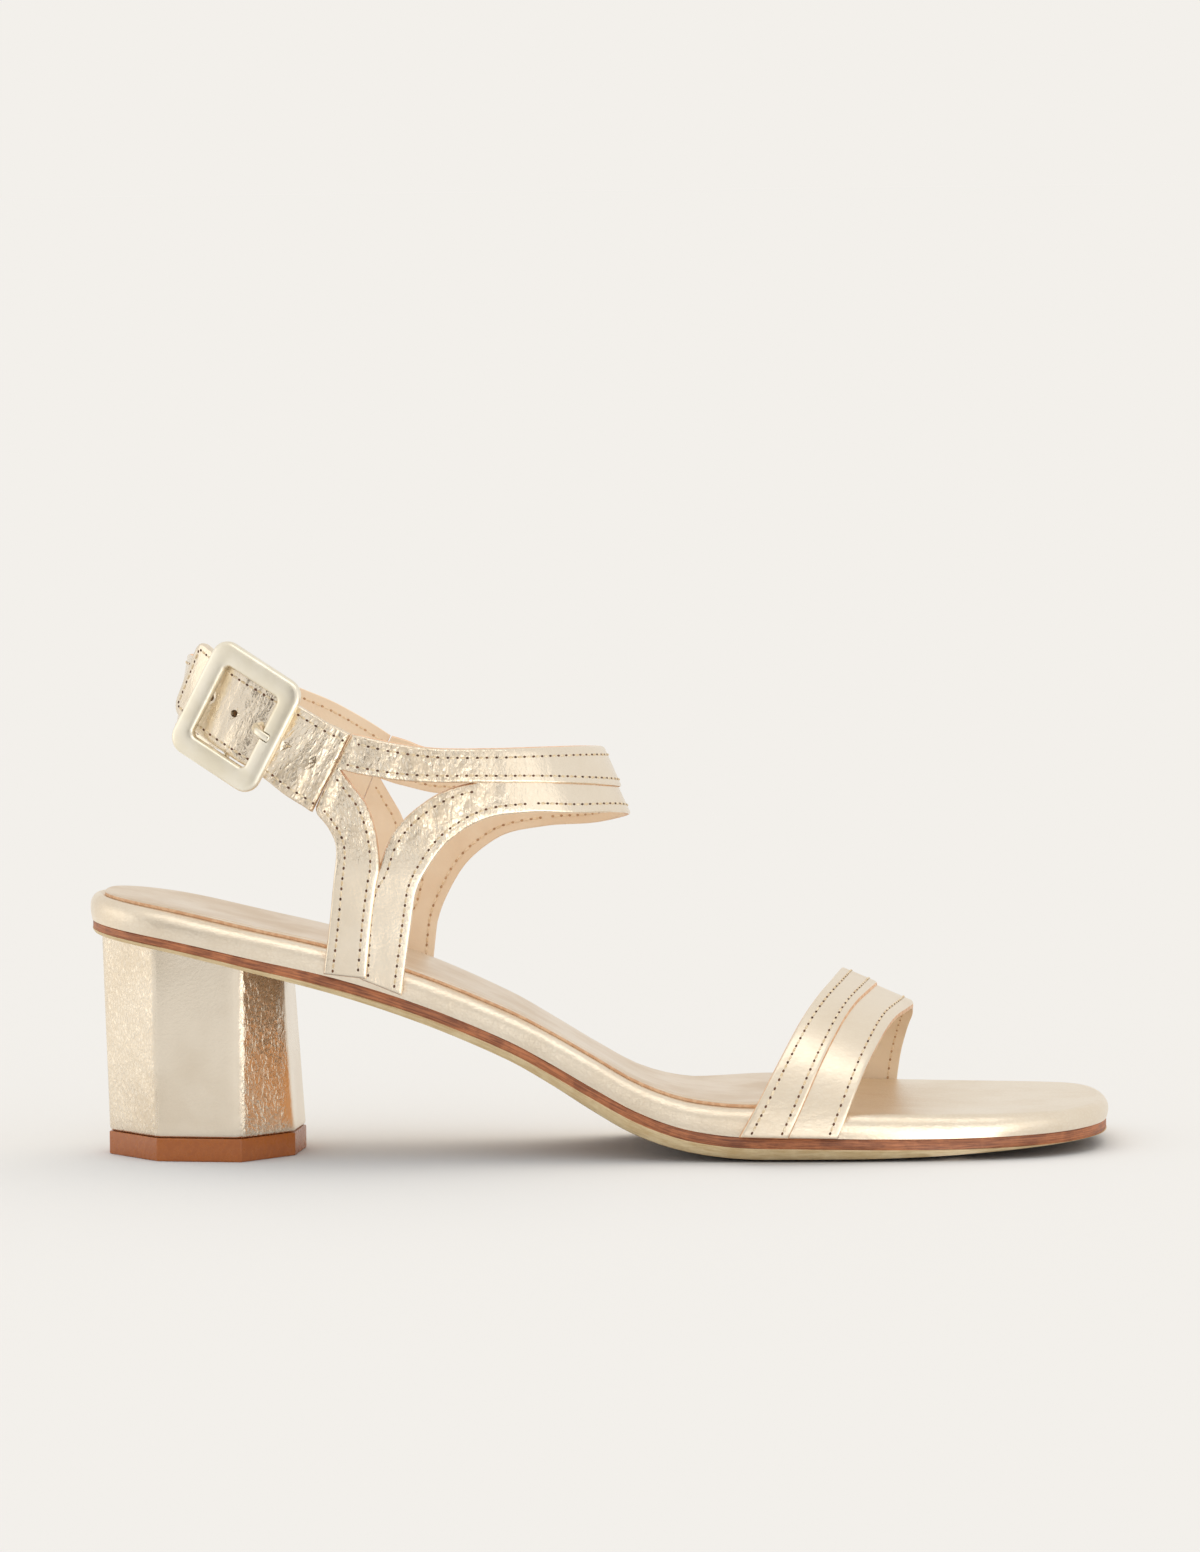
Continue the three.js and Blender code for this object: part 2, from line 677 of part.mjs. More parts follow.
// A side pattern pushed through the shoe, lower and further forward on the inner side.
function patternPrism(edges) {
  const outlinePoints = edges.flatMap((edge) => {
    const line = edge.map(({ along, rise }) => new THREE.Vector2(along * length, riseHeight(rise)));
    return line.length > 2 ? new THREE.SplineCurve(line).getPoints(line.length * 2) : line;
  });
  const distinct = outlinePoints.filter((point, i) => (
    i === 0 || point.distanceTo(outlinePoints[i - 1]) > 0.05
  ));
  const geometry = new THREE.ExtrudeGeometry(new THREE.Shape(distinct), {
    depth: 2 * far,
    steps: patternSteps,
    bevelEnabled: false,
  });
  geometry.rotateX(Math.PI / 2);
  geometry.translate(0, far, 0);
  const place = geometry.getAttribute('position');
  const instep = riseHeight(1);
  const outerFace = -(legOuter + ankleFlare / 2);
  for (let i = 0; i < place.count; i += 1) {
    const across = place.getY(i) - outerFace;
    const drop = across * (tilt + (instep - place.getZ(i)) * spread);
    const lead = tableValue(innerLead, 'along', 'lead', place.getX(i) / length);
    place.setX(i, place.getX(i) + across * lead);
    place.setZ(i, place.getZ(i) - drop);
  }
  return toSolid(geometry);
}

// Both legs, both cut-outs and the two bands over the instep, as one hollow wall.
function upperBody() {
  const core = ankleCore(0);
  const rearPiece = patternPrism([topEdge, lapEdge, rearLegFront, rearLegBack]);
  const underLap = [
    { along: lapEdge[3].along, rise: lapEdge[3].rise + 0.04 },
    { along: lapEdge[0].along, rise: lapEdge[0].rise + 0.04 },
  ];
  const frontPiece = patternPrism([frontLegBack, underLap, lowerEdge]);
  const rearWall = ankleCore(upperWall + upperLap).subtract(core).intersect(rearPiece);
  const frontWall = ankleCore(upperWall).subtract(core).intersect(frontPiece);
  const legEnd = (x) => midsoleTop(x) + clearance;
  const overSole = slab(legEnd, legAt - far, legAt + far * 1.5, 4 * heelHeight);
  return rearWall.add(frontWall).intersect(overSole);
}

// All that lies in front of the seams where both ankle straps meet the side pieces.
function seamCutter() {
  const low = rearLegBack.at(-1);
  const high = topEdge[0];
  const run = { along: high.along - low.along, rise: high.rise - low.rise };
  const front = lapEdge[0].along;
  const gap = seamGap / length;
  return patternPrism([
    [
      { along: low.along - run.along - gap, rise: low.rise - run.rise },
      { along: high.along + run.along - gap, rise: high.rise + run.rise },
    ],
    [
      { along: front, rise: high.rise + run.rise },
      { along: front, rise: low.rise - run.rise },
    ],
  ]);
}

// The middle line of a strap on the ankle, finely drawn, with the table that it follows.
function strapLine(path) {
  const first = path[0].turn;
  const last = path.at(-1).turn;
  const steps = Math.ceil((last - first) / 3);
  const points = [];
  for (let i = 0; i <= steps; i += 1) {
    const turn = THREE.MathUtils.lerp(first, last, i / steps);
    points.push(anklePoint(turn, tableValue(path, 'turn', 'rise', turn), 0));
  }
  const curve = new THREE.CatmullRomCurve3(points, false, 'centripetal');
  return { path, first, last, curve, length: curve.getLength() };
}

// Place and directions at a share of a strap's line: along it, up across it, out of the ankle.
function strapFrame(line, at) {
  const share = THREE.MathUtils.clamp(at, 0, 1);
  const turn = THREE.MathUtils.lerp(line.first, line.last, line.curve.getUtoTmapping(share));
  const rise = tableValue(line.path, 'turn', 'rise', turn);
  const step = 0.01;
  const round = anklePoint(turn + 1, rise, 0).sub(anklePoint(turn - 1, rise, 0));
  const up = anklePoint(turn, rise + step, 0).sub(anklePoint(turn, rise - step, 0));
  const out = new THREE.Vector3().crossVectors(up, round).normalize();
  const along = line.curve.getTangentAt(share);
  along.addScaledVector(out, -along.dot(out)).normalize();
  const across = new THREE.Vector3().crossVectors(along, out).normalize();
  return {
    origin: line.curve.getPointAt(share),
    along,
    out,
    across: across.multiplyScalar(Math.sign(across.z)),
  };
}

function ribbon(line, thickness, lift, taper) {
  const rings = [];
  const columns = [-0.5, -0.25, 0, 0.25, 0.5];
  const section = [
    ...columns.map((at) => [at, 1]),
    ...columns.slice().reverse().map((at) => [at, 0]),
  ];
  for (let step = 0; step <= strapSteps; step += 1) {
    const at = step / strapSteps;
    const { origin, out, across } = strapFrame(line, at);
    const width = strapWidth * taper(at);
    rings.push(section.map(([side, outer]) => origin.clone()
      .addScaledVector(across, side * width)
      .addScaledVector(out, lift(at) + outer * thickness)));
  }
  return loft(rings, section.map(([side, outer]) => new THREE.Vector2(side * strapWidth, outer)));
}

// The share of a strap's line that comes nearest to a point.
function nearestShare(line, point) {
  const shares = Array.from({ length: 401 }, (_, i) => i / 400);
  const gap = (at) => line.curve.getPointAt(at).distanceTo(point);
  return shares.reduce((best, at) => (gap(at) < gap(best) ? at : best));
}

const buckleLine = strapLine(buckleStrapPath);
const barShare = nearestShare(buckleLine, anklePoint(backStrapPath[0].turn, backStrapPath[0].rise, 0));
const barPlace = strapFrame(buckleLine, barShare);

// Buckle axes: X along the strap towards the foot's front, Y up across it, Z outward.
const buckleMatrix = new THREE.Matrix4().makeBasis(
  barPlace.along.clone().negate(),
  new THREE.Vector3().crossVectors(barPlace.out, barPlace.along.clone().negate()),
  barPlace.out,
).setPosition(barPlace.origin);

// Points round a rectangle with rounded corners, the same count for any size.
function roundedRectangle(width, height, corner) {
  const points = [];
  for (const [index, [x, y]] of [[1, 1], [-1, 1], [-1, -1], [1, -1]].entries()) {
    for (let step = 0; step <= frameCornerSteps; step += 1) {
      const angle = (Math.PI / 2) * (index + step / frameCornerSteps);
      points.push(new THREE.Vector2(
        x * (width / 2 - corner) + corner * Math.cos(angle),
        y * (height / 2 - corner) + corner * Math.sin(angle),
      ));
    }
  }
  return points;
}

// A ring lofted from nested outlines, each at its own height, closed on itself.
function ringLoft(outlines) {
  const count = outlines[0].points.length;
  const points = outlines.flatMap(({ points: plan, z }) => (
    plan.map(({ x, y }) => new THREE.Vector3(x, y, z))
  ));
  const triangles = [];
  for (let line = 0; line < outlines.length; line += 1) {
    const next = (line + 1) % outlines.length;
    for (let k = 0; k < count; k += 1) {
      const j = (k + 1) % count;
      const [a, b] = [line * count + k, line * count + j];
      const [c, d] = [next * count + j, next * count + k];
      triangles.push([a, b, c], [a, c, d]);
    }
  }
  return closedGeometry(points, triangles);
}

function rod(diameter, span) {
  return new THREE.CylinderGeometry(diameter / 2, diameter / 2, span, 12);
}

function buckleFrameBody() {
  const top = frameHeight + frameThickness;
  const outline = (inset, z) => ({
    points: roundedRectangle(frameLength - 2 * inset, frameWidth - 2 * inset, frameCorner - inset),
    z,
  });
  const opening = (inset, z) => ({
    points: roundedRectangle(openingLength + 2 * inset, openingWidth + 2 * inset, openingCorner + inset),
    z,
  });
  const ring = ringLoft([
    outline(frameEdge, frameHeight),
    outline(0, frameHeight + frameEdge),
    outline(0, top - frameEdge),
    outline(frameEdge * 0.3, top - frameEdge * 0.3),
    outline(frameEdge, top),
    opening(frameEdge, top),
    opening(frameEdge * 0.3, top - frameEdge * 0.3),
    opening(0, top - frameEdge),
    opening(0, frameHeight + frameEdge),
    opening(frameEdge, frameHeight),
  ]);
  const bar = rod(barDiameter, 2 * barLegAt + barDiameter);
  bar.translate(0, 0, barHeight);
  let body = toSolid(ring).add(toSolid(bar));
  for (const side of [-1, 1]) {
    const reach = frameHeight + frameThickness / 2 - barHeight;
    const leg = rod(barDiameter, reach);
    leg.rotateX(Math.PI / 2);
    leg.translate(0, side * barLegAt, barHeight + reach / 2);
    body = body.add(toSolid(leg));
  }
  return fromSolid(body.subtract(toSolid(pinRod(clearance)))).applyMatrix4(buckleMatrix);
}

// The pin's rod from the bar through the strap on to the frame, made thicker by a gap.
function pinRod(gap) {
  const top = frameHeight + frameThickness - pinDiameter / 2;
  const path = new THREE.CatmullRomCurve3([
    new THREE.Vector3(barDiameter * 0.8, 0, barHeight + pinDiameter / 3),
    new THREE.Vector3(pinReach - pinDiameter / 3, 0, THREE.MathUtils.lerp(barHeight, top, 0.5)),
    new THREE.Vector3(openingLength / 2, 0, top - pinDiameter / 5),
    new THREE.Vector3(openingLength / 2 + pinSeat, 0, top),
  ]);
  const section = new THREE.Shape().absarc(0, 0, pinDiameter / 2 + gap, 0, Math.PI * 2);
  return new THREE.ExtrudeGeometry(section, { steps: 14, extrudePath: path, curveSegments: 5 });
}

function pinBody() {
  const inner = barDiameter / 2 + clearance;
  const eye = new THREE.Shape().absarc(0, 0, inner + loopWall, 0, Math.PI * 2);
  eye.holes.push(new THREE.Path().absarc(0, 0, inner, 0, Math.PI * 2));
  const ring = new THREE.ExtrudeGeometry(eye, {
    depth: pinDiameter,
    bevelEnabled: false,
    curveSegments: 8,
  });
  ring.translate(0, 0, -pinDiameter / 2);
  ring.rotateX(Math.PI / 2);
  ring.translate(0, 0, barHeight);
  return fromSolid(toSolid(ring).add(toSolid(pinRod(0)))).applyMatrix4(buckleMatrix);
}

function buckleStrapBody() {
  const lift = (at) => tableValue(strapLift, 'reach', 'lift', (barShare - at) * buckleLine.length);
  const taper = (at) => (
    1 + strapFlare * (1 - THREE.MathUtils.smoothstep(at, 0, 0.45))
      - tipNarrowing * THREE.MathUtils.smoothstep(at, 0.93, 1)
  );
  let body = toSolid(ribbon(buckleLine, strapThickness, lift, taper)).subtract(seamCutter());
  for (let hole = -2; hole <= 2; hole += 1) {
    const at = barShare - (pinReach + hole * holePitch) / buckleLine.length;
    const { origin, out } = strapFrame(buckleLine, at);
    const punch = rod(holeDiameter, 4 * frameThickness);
    punch.applyQuaternion(new THREE.Quaternion().setFromUnitVectors(new THREE.Vector3(0, 1, 0), out));
    punch.translate(...origin.addScaledVector(out, lift(at)));
    body = body.subtract(toSolid(punch));
  }
  return fromSolid(body.subtract(toSolid(pinRod(clearance).applyMatrix4(buckleMatrix))));
}

function backStrapBody() {
  const line = strapLine(backStrapPath);
  const band = toSolid(ribbon(line, backStrapThickness, flat, () => 1)).subtract(seamCutter());
  const loopDiameter = barDiameter + 2 * clearance + 2 * loopWall;
  const loop = rod(loopDiameter, strapWidth).translate(0, 0, barHeight);
  const bore = rod(barDiameter + 2 * clearance, 2 * strapWidth).translate(0, 0, barHeight);
  const slot = new THREE.BoxGeometry(4 * loopDiameter, pinDiameter + 3 * clearance, 3 * loopDiameter);
  const parts = [loop, bore, slot].map((geometry) => toSolid(geometry.applyMatrix4(buckleMatrix)));
  return fromSolid(band.add(parts[0]).subtract(parts[1]).subtract(parts[2]));
}

const finishes = {
  gold: { color: 0xdccdb4, roughness: 0.38, metalness: 0.75 },
  sock: { color: 0xe0d2bc, roughness: 0.5, metalness: 0.4 },
  edge: { color: 0x96603c, roughness: 0.6, metalness: 0 },
  pale: { color: 0xd7be91, roughness: 0.65, metalness: 0 },
  lift: { color: 0x9e5a30, roughness: 0.45, metalness: 0 },
  metal: { color: 0xe8e2ce, roughness: 0.35, metalness: 0.9 },
};

const group = new THREE.Group();

function addPiece(name, geometry, finish) {
  const mesh = new THREE.Mesh(geometry, new THREE.MeshStandardMaterial(finishes[finish]));
  mesh.name = name;
  group.add(mesh);
}

addPiece('outsole', outsoleGeometry, 'pale');
addPiece('midsole', midsoleGeometry, 'edge');
addPiece('footbed', footbedGeometry, 'gold');
addPiece('insole_sock', sockBody(), 'sock');
addPiece('heel_block', heelBody(), 'gold');
addPiece('heel_top_lift', heelLoft(0, liftThickness, 0, 0), 'lift');
addPiece('vamp_strap', vampBody(), 'gold');
addPiece('ankle_upper', fromSolid(upperBody()), 'gold');
addPiece('buckle_strap', buckleStrapBody(), 'gold');
addPiece('back_strap', backStrapBody(), 'gold');
addPiece('buckle_frame', buckleFrameBody(), 'metal');
addPiece('buckle_pin', pinBody(), 'metal');

const box = new THREE.Box3().setFromObject(group);
group.position.set(-(box.min.x + box.max.x) / 2, -(box.min.y + box.max.y) / 2, -box.min.z);

export default group;
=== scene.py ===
"""Looks of a right ankle strap sandal on an octagonal block heel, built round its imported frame.

Lengths are in millimetres from the heel's back until a piece is put in its place in the frame.
"""

import logging
import math
from dataclasses import dataclass, field
from enum import Enum
from typing import Callable, Iterable, Sequence

import bmesh
import bpy
import numpy as np
from mathutils import Matrix, Vector


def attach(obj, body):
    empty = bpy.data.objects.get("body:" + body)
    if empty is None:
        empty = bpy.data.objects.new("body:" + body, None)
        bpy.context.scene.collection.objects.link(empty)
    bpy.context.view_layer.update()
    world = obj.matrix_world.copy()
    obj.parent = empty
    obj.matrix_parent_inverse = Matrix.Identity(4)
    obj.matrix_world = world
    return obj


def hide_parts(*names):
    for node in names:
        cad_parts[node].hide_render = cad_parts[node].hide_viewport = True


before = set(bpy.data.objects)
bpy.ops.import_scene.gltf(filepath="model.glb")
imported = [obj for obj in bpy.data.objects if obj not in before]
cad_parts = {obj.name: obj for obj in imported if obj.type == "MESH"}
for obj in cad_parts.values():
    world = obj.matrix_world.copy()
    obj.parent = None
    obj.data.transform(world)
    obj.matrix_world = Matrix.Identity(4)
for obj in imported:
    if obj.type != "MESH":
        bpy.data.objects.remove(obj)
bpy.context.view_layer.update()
LOG = logging.getLogger("sandal")

MM = 0.001
HEEL_BACK = Vector((-121.0, 1.164, 0.0))
CLEARANCE = 0.3
LENGTH = 242.0
HARD_ANGLE = 0.7

Bend = Callable[[float, float, float], Vector]


class Side(Enum):
    """Which side of the foot a point is on, and the sign of its turn round the ankle."""

    OUTER = 1
    INNER = -1


class Slot(Enum):
    """Material slots of the record."""

    GOLD = "gold_leather"
    SOCK = "sock_leather"
    OUTSOLE = "outsole_leather"
    EDGE = "brown_edge"
    LIFT = "heel_lift"
    METAL = "gold_metal"


@dataclass(frozen=True)
class Table:
    """Smooth values between rows that are ordered by their first column."""

    rows: tuple[tuple[float, ...], ...]

    def value(self, column: int, at: float) -> float:
        """Read a column between the rows.

        Args:
            column: Which column to read, from 1.
            at: Place along the first column, held to the table's ends.

        Returns:
            The value on a smooth curve through the rows.
        """
        rows = self.rows
        last = len(rows) - 1
        row = 0
        while row < last - 1 and at > rows[row + 1][0]:
            row += 1
        low, high = rows[row], rows[row + 1]
        span = high[0] - low[0]
        t = min(max((at - low[0]) / span, 0.0), 1.0)
        slopes = []
        for index in (row, row + 1):
            before, after = rows[max(index - 1, 0)], rows[min(index + 1, last)]
            slopes.append(span * (after[column] - before[column]) / (after[0] - before[0]))
        t2, t3 = t * t, t * t * t
        return (
            (2 * t3 - 3 * t2 + 1) * low[column]
            + (t3 - 2 * t2 + t) * slopes[0]
            + (3 * t2 - 2 * t3) * high[column]
            + (t3 - t2) * slopes[1]
        )


def clamp(value: float, low: float = 0.0, high: float = 1.0) -> float:
    """Hold a value between two limits."""
    return min(max(value, low), high)


def mix(a: float, b: float, share: float) -> float:
    """Go a share of the way from a to b."""
    return a + (b - a) * share


def smoothstep(value: float, low: float, high: float) -> float:
    """Rise smoothly from 0 at low to 1 at high."""
    t = clamp((value - low) / (high - low))
    return t * t * (3 - 2 * t)


def spline(points: Sequence[Vector], each: int = 8) -> list[Vector]:
    """Draw a smooth line through points.

    Args:
        points: The points that the line passes through.
        each: How many pieces each stretch gets.

    Returns:
        The line's points, both ends included.
    """
    line = []
    last = len(points) - 1
    for i in range(last):
        p0, p1 = points[max(i - 1, 0)], points[i]
        p2, p3 = points[i + 1], points[min(i + 2, last)]
        v0, v1 = (p2 - p0) * 0.5, (p3 - p1) * 0.5
        for k in range(each):
            t = k / each
            line.append(
                (2 * p1 - 2 * p2 + v0 + v1) * t**3
                + (-3 * p1 + 3 * p2 - 2 * v0 - v1) * t**2
                + v0 * t
                + p1
            )
    line.append(points[last].copy())
    return line


def resample(line: Sequence[Vector], pitch: float) -> list[Vector]:
    """Space a line's points evenly and keep its ends.

    Args:
        line: Points of an open line.
        pitch: Wanted distance between points.

    Returns:
        The evenly spaced points.
    """
    marks = [0.0]
    for a, b in zip(line, line[1:]):
        marks.append(marks[-1] + (b - a).length)
    count = max(1, round(marks[-1] / pitch))
    columns = range(len(line[0]))
    targets = [marks[-1] * k / count for k in range(count + 1)]
    spread = [np.interp(targets, marks, [point[c] for point in line]) for c in columns]
    return [Vector(tuple(float(column[k]) for column in spread)) for k in range(count + 1)]


def closed_line(stretches: Iterable[Sequence[Vector]], apart: float = 0.05) -> list[Vector]:
    """Join open stretches end to end into one closed outline without double points."""
    points: list[Vector] = []
    for stretch in stretches:
        for point in stretch:
            if not points or (point - points[-1]).length > apart:
                points.append(point)
    while (points[0] - points[-1]).length <= apart:
        points.pop()
    return points


def counterclockwise(outline: list[Vector]) -> list[Vector]:
    """Turn an outline so that its inside is on the left."""
    area = sum(a.x * b.y - b.x * a.y for a, b in zip(outline, outline[1:] + outline[:1]))
    return outline if area > 0 else outline[::-1]


def inward(outline: Sequence[Vector]) -> list[Vector]:
    """Directions into a counterclockwise outline at each of its points, mitred at corners."""
    arrows = []
    count = len(outline)
    for i, point in enumerate(outline):
        before = (point - outline[i - 1]).normalized()
        after = (outline[(i + 1) % count] - point).normalized()
        first, second = Vector((-before.y, before.x)), Vector((-after.y, after.x))
        arrows.append((first + second) / max(1 + first.dot(second), 0.5))
    return arrows


def rounded_rim(thickness: float, low: float, high: float, steps: int = 4) -> list[tuple[float, float]]:
    """Rows of a rim with two rounded edges.

    Args:
        thickness: Height of the piece.
        low: Radius of the lower edge.
        high: Radius of the upper edge.
        steps: Pieces in each rounding.

    Returns:
        Pairs of inset and level, from the underside up.
    """
    quarter = [math.pi / 2 * k / steps for k in range(steps + 1)]
    rows = [(low * (1 - math.sin(a)), low * (1 - math.cos(a))) for a in quarter]
    rows += [(high * (1 - math.cos(a)), thickness - high * (1 - math.sin(a))) for a in quarter]
    return rows


def new_piece(name: str, bm: bmesh.types.BMesh, materials: Sequence[bpy.types.Material]) -> bpy.types.Object:
    """Make an object in the frame from a mesh in millimetres from the heel's back.

    Args:
        name: The piece's name.
        bm: Its mesh, which is freed.
        materials: Its materials in the order of the faces' indices.

    Returns:
        The new object, at the origin.
    """
    bmesh.ops.translate(bm, verts=bm.verts, vec=HEEL_BACK)
    bmesh.ops.scale(bm, verts=bm.verts, vec=(MM, MM, MM))
    mesh = bpy.data.meshes.new(name)
    for face in bm.faces:
        face.smooth = True
    mark_hard_edges(bm)
    bm.to_mesh(mesh)
    bm.free()
    for material in materials:
        mesh.materials.append(material)
    piece = bpy.data.objects.new(name, mesh)
    bpy.context.scene.collection.objects.link(piece)
    LOG.info("%s: %d faces", name, len(mesh.polygons))
    return piece


def grown(bm: bmesh.types.BMesh, edges: list[bmesh.types.BMEdge]) -> tuple[list, list]:
    """Extrude a loop of edges.

    Args:
        bm: The mesh.
        edges: The loop.

    Returns:
        The new corners and the new edges.
    """
    made = bmesh.ops.extrude_edge_only(bm, edges=edges)["geom"]
    corners = [item for item in made if isinstance(item, bmesh.types.BMVert)]
    return corners, [item for item in made if isinstance(item, bmesh.types.BMEdge)]


def mark_hard_edges(bm: bmesh.types.BMesh) -> None:
    """Shade softly across every edge but the sharply bent ones."""
    for edge in bm.edges:
        edge.smooth = edge.calc_face_angle(0.0) < HARD_ANGLE


@dataclass
class Slab:
    """A flat piece cut to an outline, with a shaped rim, then bent to its place.

    Attributes:
        outline: Closed outline of the flat piece.
        rim: Pairs of inset and level, from the underside up.
        bend: Gives the place of a flat point at a level.
        pitch: Spacing of the cuts over both faces, along and across.
        crease: Gives how creased the leather is at a flat point, which also sets the painted shade in the foil's
            creases.
        lining_level: Faces below this level get the second material.
        paint_level: Faces from there to this level get the third.
    """

    outline: Sequence[Vector]
    rim: Sequence[tuple[float, float]]
    bend: Bend
    pitch: tuple[float, float] = (2.0, 2.0)
    crease: Callable[[float, float], float] = lambda x, y: 0.0
    lining_level: float = -1.0
    paint_level: float = -1.0

    def _cut(self, bm: bmesh.types.BMesh, face: bmesh.types.BMFace) -> None:
        """Cut one flat face into a grid."""
        for axis in (0, 1):
            places = [point[axis] for point in self.outline]
            low, high = min(places), max(places)
            count = max(1, round((high - low) / self.pitch[axis]))
            normal = (1, 0, 0) if axis == 0 else (0, 1, 0)
            if axis == 0:
                done, rest = [], [face]
            else:
                rest, done = done + rest, []
            for k in range(1, count):
                at = mix(low, high, k / count)
                geom = list({item for one in rest for item in (one, *one.edges, *one.verts)})
                spot = Vector(normal) * at
                made = bmesh.ops.bisect_plane(bm, geom=geom, dist=1e-4, plane_co=spot, plane_no=normal)
                faces = [item for item in made["geom"] if isinstance(item, bmesh.types.BMFace)]
                done += [one for one in faces if one.calc_center_bounds()[axis] <= at]
                rest = [one for one in faces if one.calc_center_bounds()[axis] > at]

    def mesh(self) -> bmesh.types.BMesh:
        """Build the bent mesh."""
        outline = counterclockwise(list(self.outline))
        arrows = inward(outline)
        bm = bmesh.new()
        order = bm.verts.layers.int.new("order")
        crease = bm.verts.layers.float.new("crease")
        height = bm.verts.layers.float.new("level")
        cut = bm.loops.layers.uv.new("cut")
        ring = bmesh.ops.create_circle(bm, segments=len(outline), radius=1.0)["verts"]
        for k, vert in enumerate(ring):
            vert[order] = k
        edges = list(bm.edges)
        ends = [edges]
        for row, (inset, level) in enumerate(self.rim):
            if row:
                ring, edges = grown(bm, edges)
            for vert in ring:
                flat = outline[vert[order]] + arrows[vert[order]] * inset
                vert.co = (flat.x, flat.y, level)
        ends.append(edges)
        for loop in ends:
            for face in bmesh.ops.contextual_create(bm, geom=loop)["faces"]:
                self._cut(bm, face)
        for face in bm.faces:
            middle = face.calc_center_median().z
            face.material_index = 1 if middle < self.lining_level else 2 if middle < self.paint_level else 0
            for corner in face.loops:
                corner[cut].uv = (corner.vert.co.x * 0.01, corner.vert.co.y * 0.01)
        for vert in bm.verts:
            x, y, level = vert.co
            vert[crease] = self.crease(x, y)
            vert[height] = level
            vert.co = self.bend(x, y, level)
        bmesh.ops.recalc_face_normals(bm, faces=bm.faces)
        return bm


def bead() -> tuple[np.ndarray, list[tuple[int, ...]]]:
    """Corners and faces of a small ball that every stitch and needle hole is shaped from."""
    bm = bmesh.new()
    bmesh.ops.create_uvsphere(bm, u_segments=6, v_segments=4, radius=0.5)
    corners = np.array([tuple(vert.co) for vert in bm.verts])
    faces = [tuple(vert.index for vert in face.verts) for face in bm.faces]
    bm.free()
    return corners, faces


@dataclass
class Stitching:
    """Rows of thread with dark beads between their stitches, painted shade for the needle holes.

    Attributes:
        pitch: Length of thread and hole together.
        thread: Length, width and height of the thread that shows.
        hole: Length, width and height of the bead that carries a needle hole's painted shade.
    """

    pitch: float = 2.35
    thread: tuple[float, float, float] = (1.55, 0.6, 0.56)
    hole: tuple[float, float, float] = (0.85, 0.62, 0.24)
    _threads: list[np.ndarray] = field(default_factory=list)
    _holes: list[np.ndarray] = field(default_factory=list)

    def row(self, line: Sequence[Vector], bend: Bend, level: float) -> None:
        """Sew a row along a flat line.

        Args:
            line: Flat points that the row follows.
            bend: Gives the place of a flat point at a level.
            level: Level of the surface that is sewn, 0 for an underside.
        """
        fine = resample(line, 0.5)
        lift = 0.2 if level > 0.1 else -0.2
        bent = [bend(p.x, p.y, level) for p in fine]
        above = [bend(p.x, p.y, level + lift) for p in fine]
        marks = [0.0]
        for a, b in zip(bent, bent[1:]):
            marks.append(marks[-1] + (b - a).length)
        count = max(int(marks[-1] / self.pitch), 1)
        last = len(bent) - 1
        for k in range(2 * count + 1):
            at = marks[-1] * k / (2 * count)
            i = min(max(int(np.searchsorted(marks, at)), 1), last)
            share = (at - marks[i - 1]) / max(marks[i] - marks[i - 1], 1e-6)
            spot = bent[i - 1].lerp(bent[i], clamp(share))
            along = (bent[min(i + 1, last)] - bent[i - 1]).normalized()
            out = (above[i] - bent[i]).normalized()
            out = (out - along * out.dot(along)).normalized()
            turn = Matrix((along, out.cross(along), out)).transposed().to_4x4()
            size = self.thread if k % 2 else self.hole
            place = Matrix.Translation(spot) @ turn @ Matrix.Diagonal((*size, 1.0))
            (self._threads if k % 2 else self._holes).append(np.array(place))

    def pieces(self, name: str, thread: bpy.types.Material, hole: bpy.types.Material) -> list[bpy.types.Object]:
        """Make the two pieces of all rows sewn so far."""
        corners, faces = bead()
        homogeneous = np.hstack([corners, np.ones((len(corners), 1))])
        made = []
        # The hole beads carry the painted shade of the needle holes.
        kinds = (("threads", self._threads, thread), ("needle_holes", self._holes, hole))
        for ending, places, material in kinds:
            spots = [tuple(spot) for place in places for spot in (homogeneous @ place.T)[:, :3]]
            copies = range(len(places))
            walls = [tuple(k * len(corners) + i for i in face) for k in copies for face in faces]
            mesh = bpy.data.meshes.new(name)
            mesh.from_pydata(spots, [], walls)
            bm = bmesh.new()
            bm.from_mesh(mesh)
            bpy.data.meshes.remove(mesh)
            made.append(new_piece(f"{name}_{ending}", bm, [material]))
        return made


def ripple(x: float, y: float) -> float:
    """Irregular soft folds that run mostly along Y, between about -1 and 1."""
    drift = 0.9 * math.sin(y / 3.1 + 0.7 * math.sin(x / 7.3)) + 0.35 * math.sin(y / 1.3 + x / 2.9)
    long = math.sin(x / 1.15 + drift)
    short = math.sin(x / 0.52 - y / 3.7 + 1.7 * math.sin(y / 4.9 + x / 5.3))
    broad = math.sin(x / 2.6 + y / 6.5)
    return 0.45 * long + 0.18 * short + 0.37 * broad


def folded(bend: Bend, crease: Callable[[float, float], float], height: float) -> Bend:
    """A bend whose surface is folded where the leather is creased."""
    def place(x: float, y: float, level: float) -> Vector:
        """Place a flat point."""
        return bend(x, y, level + height * crease(x, y) * ripple(x, y))
    return place


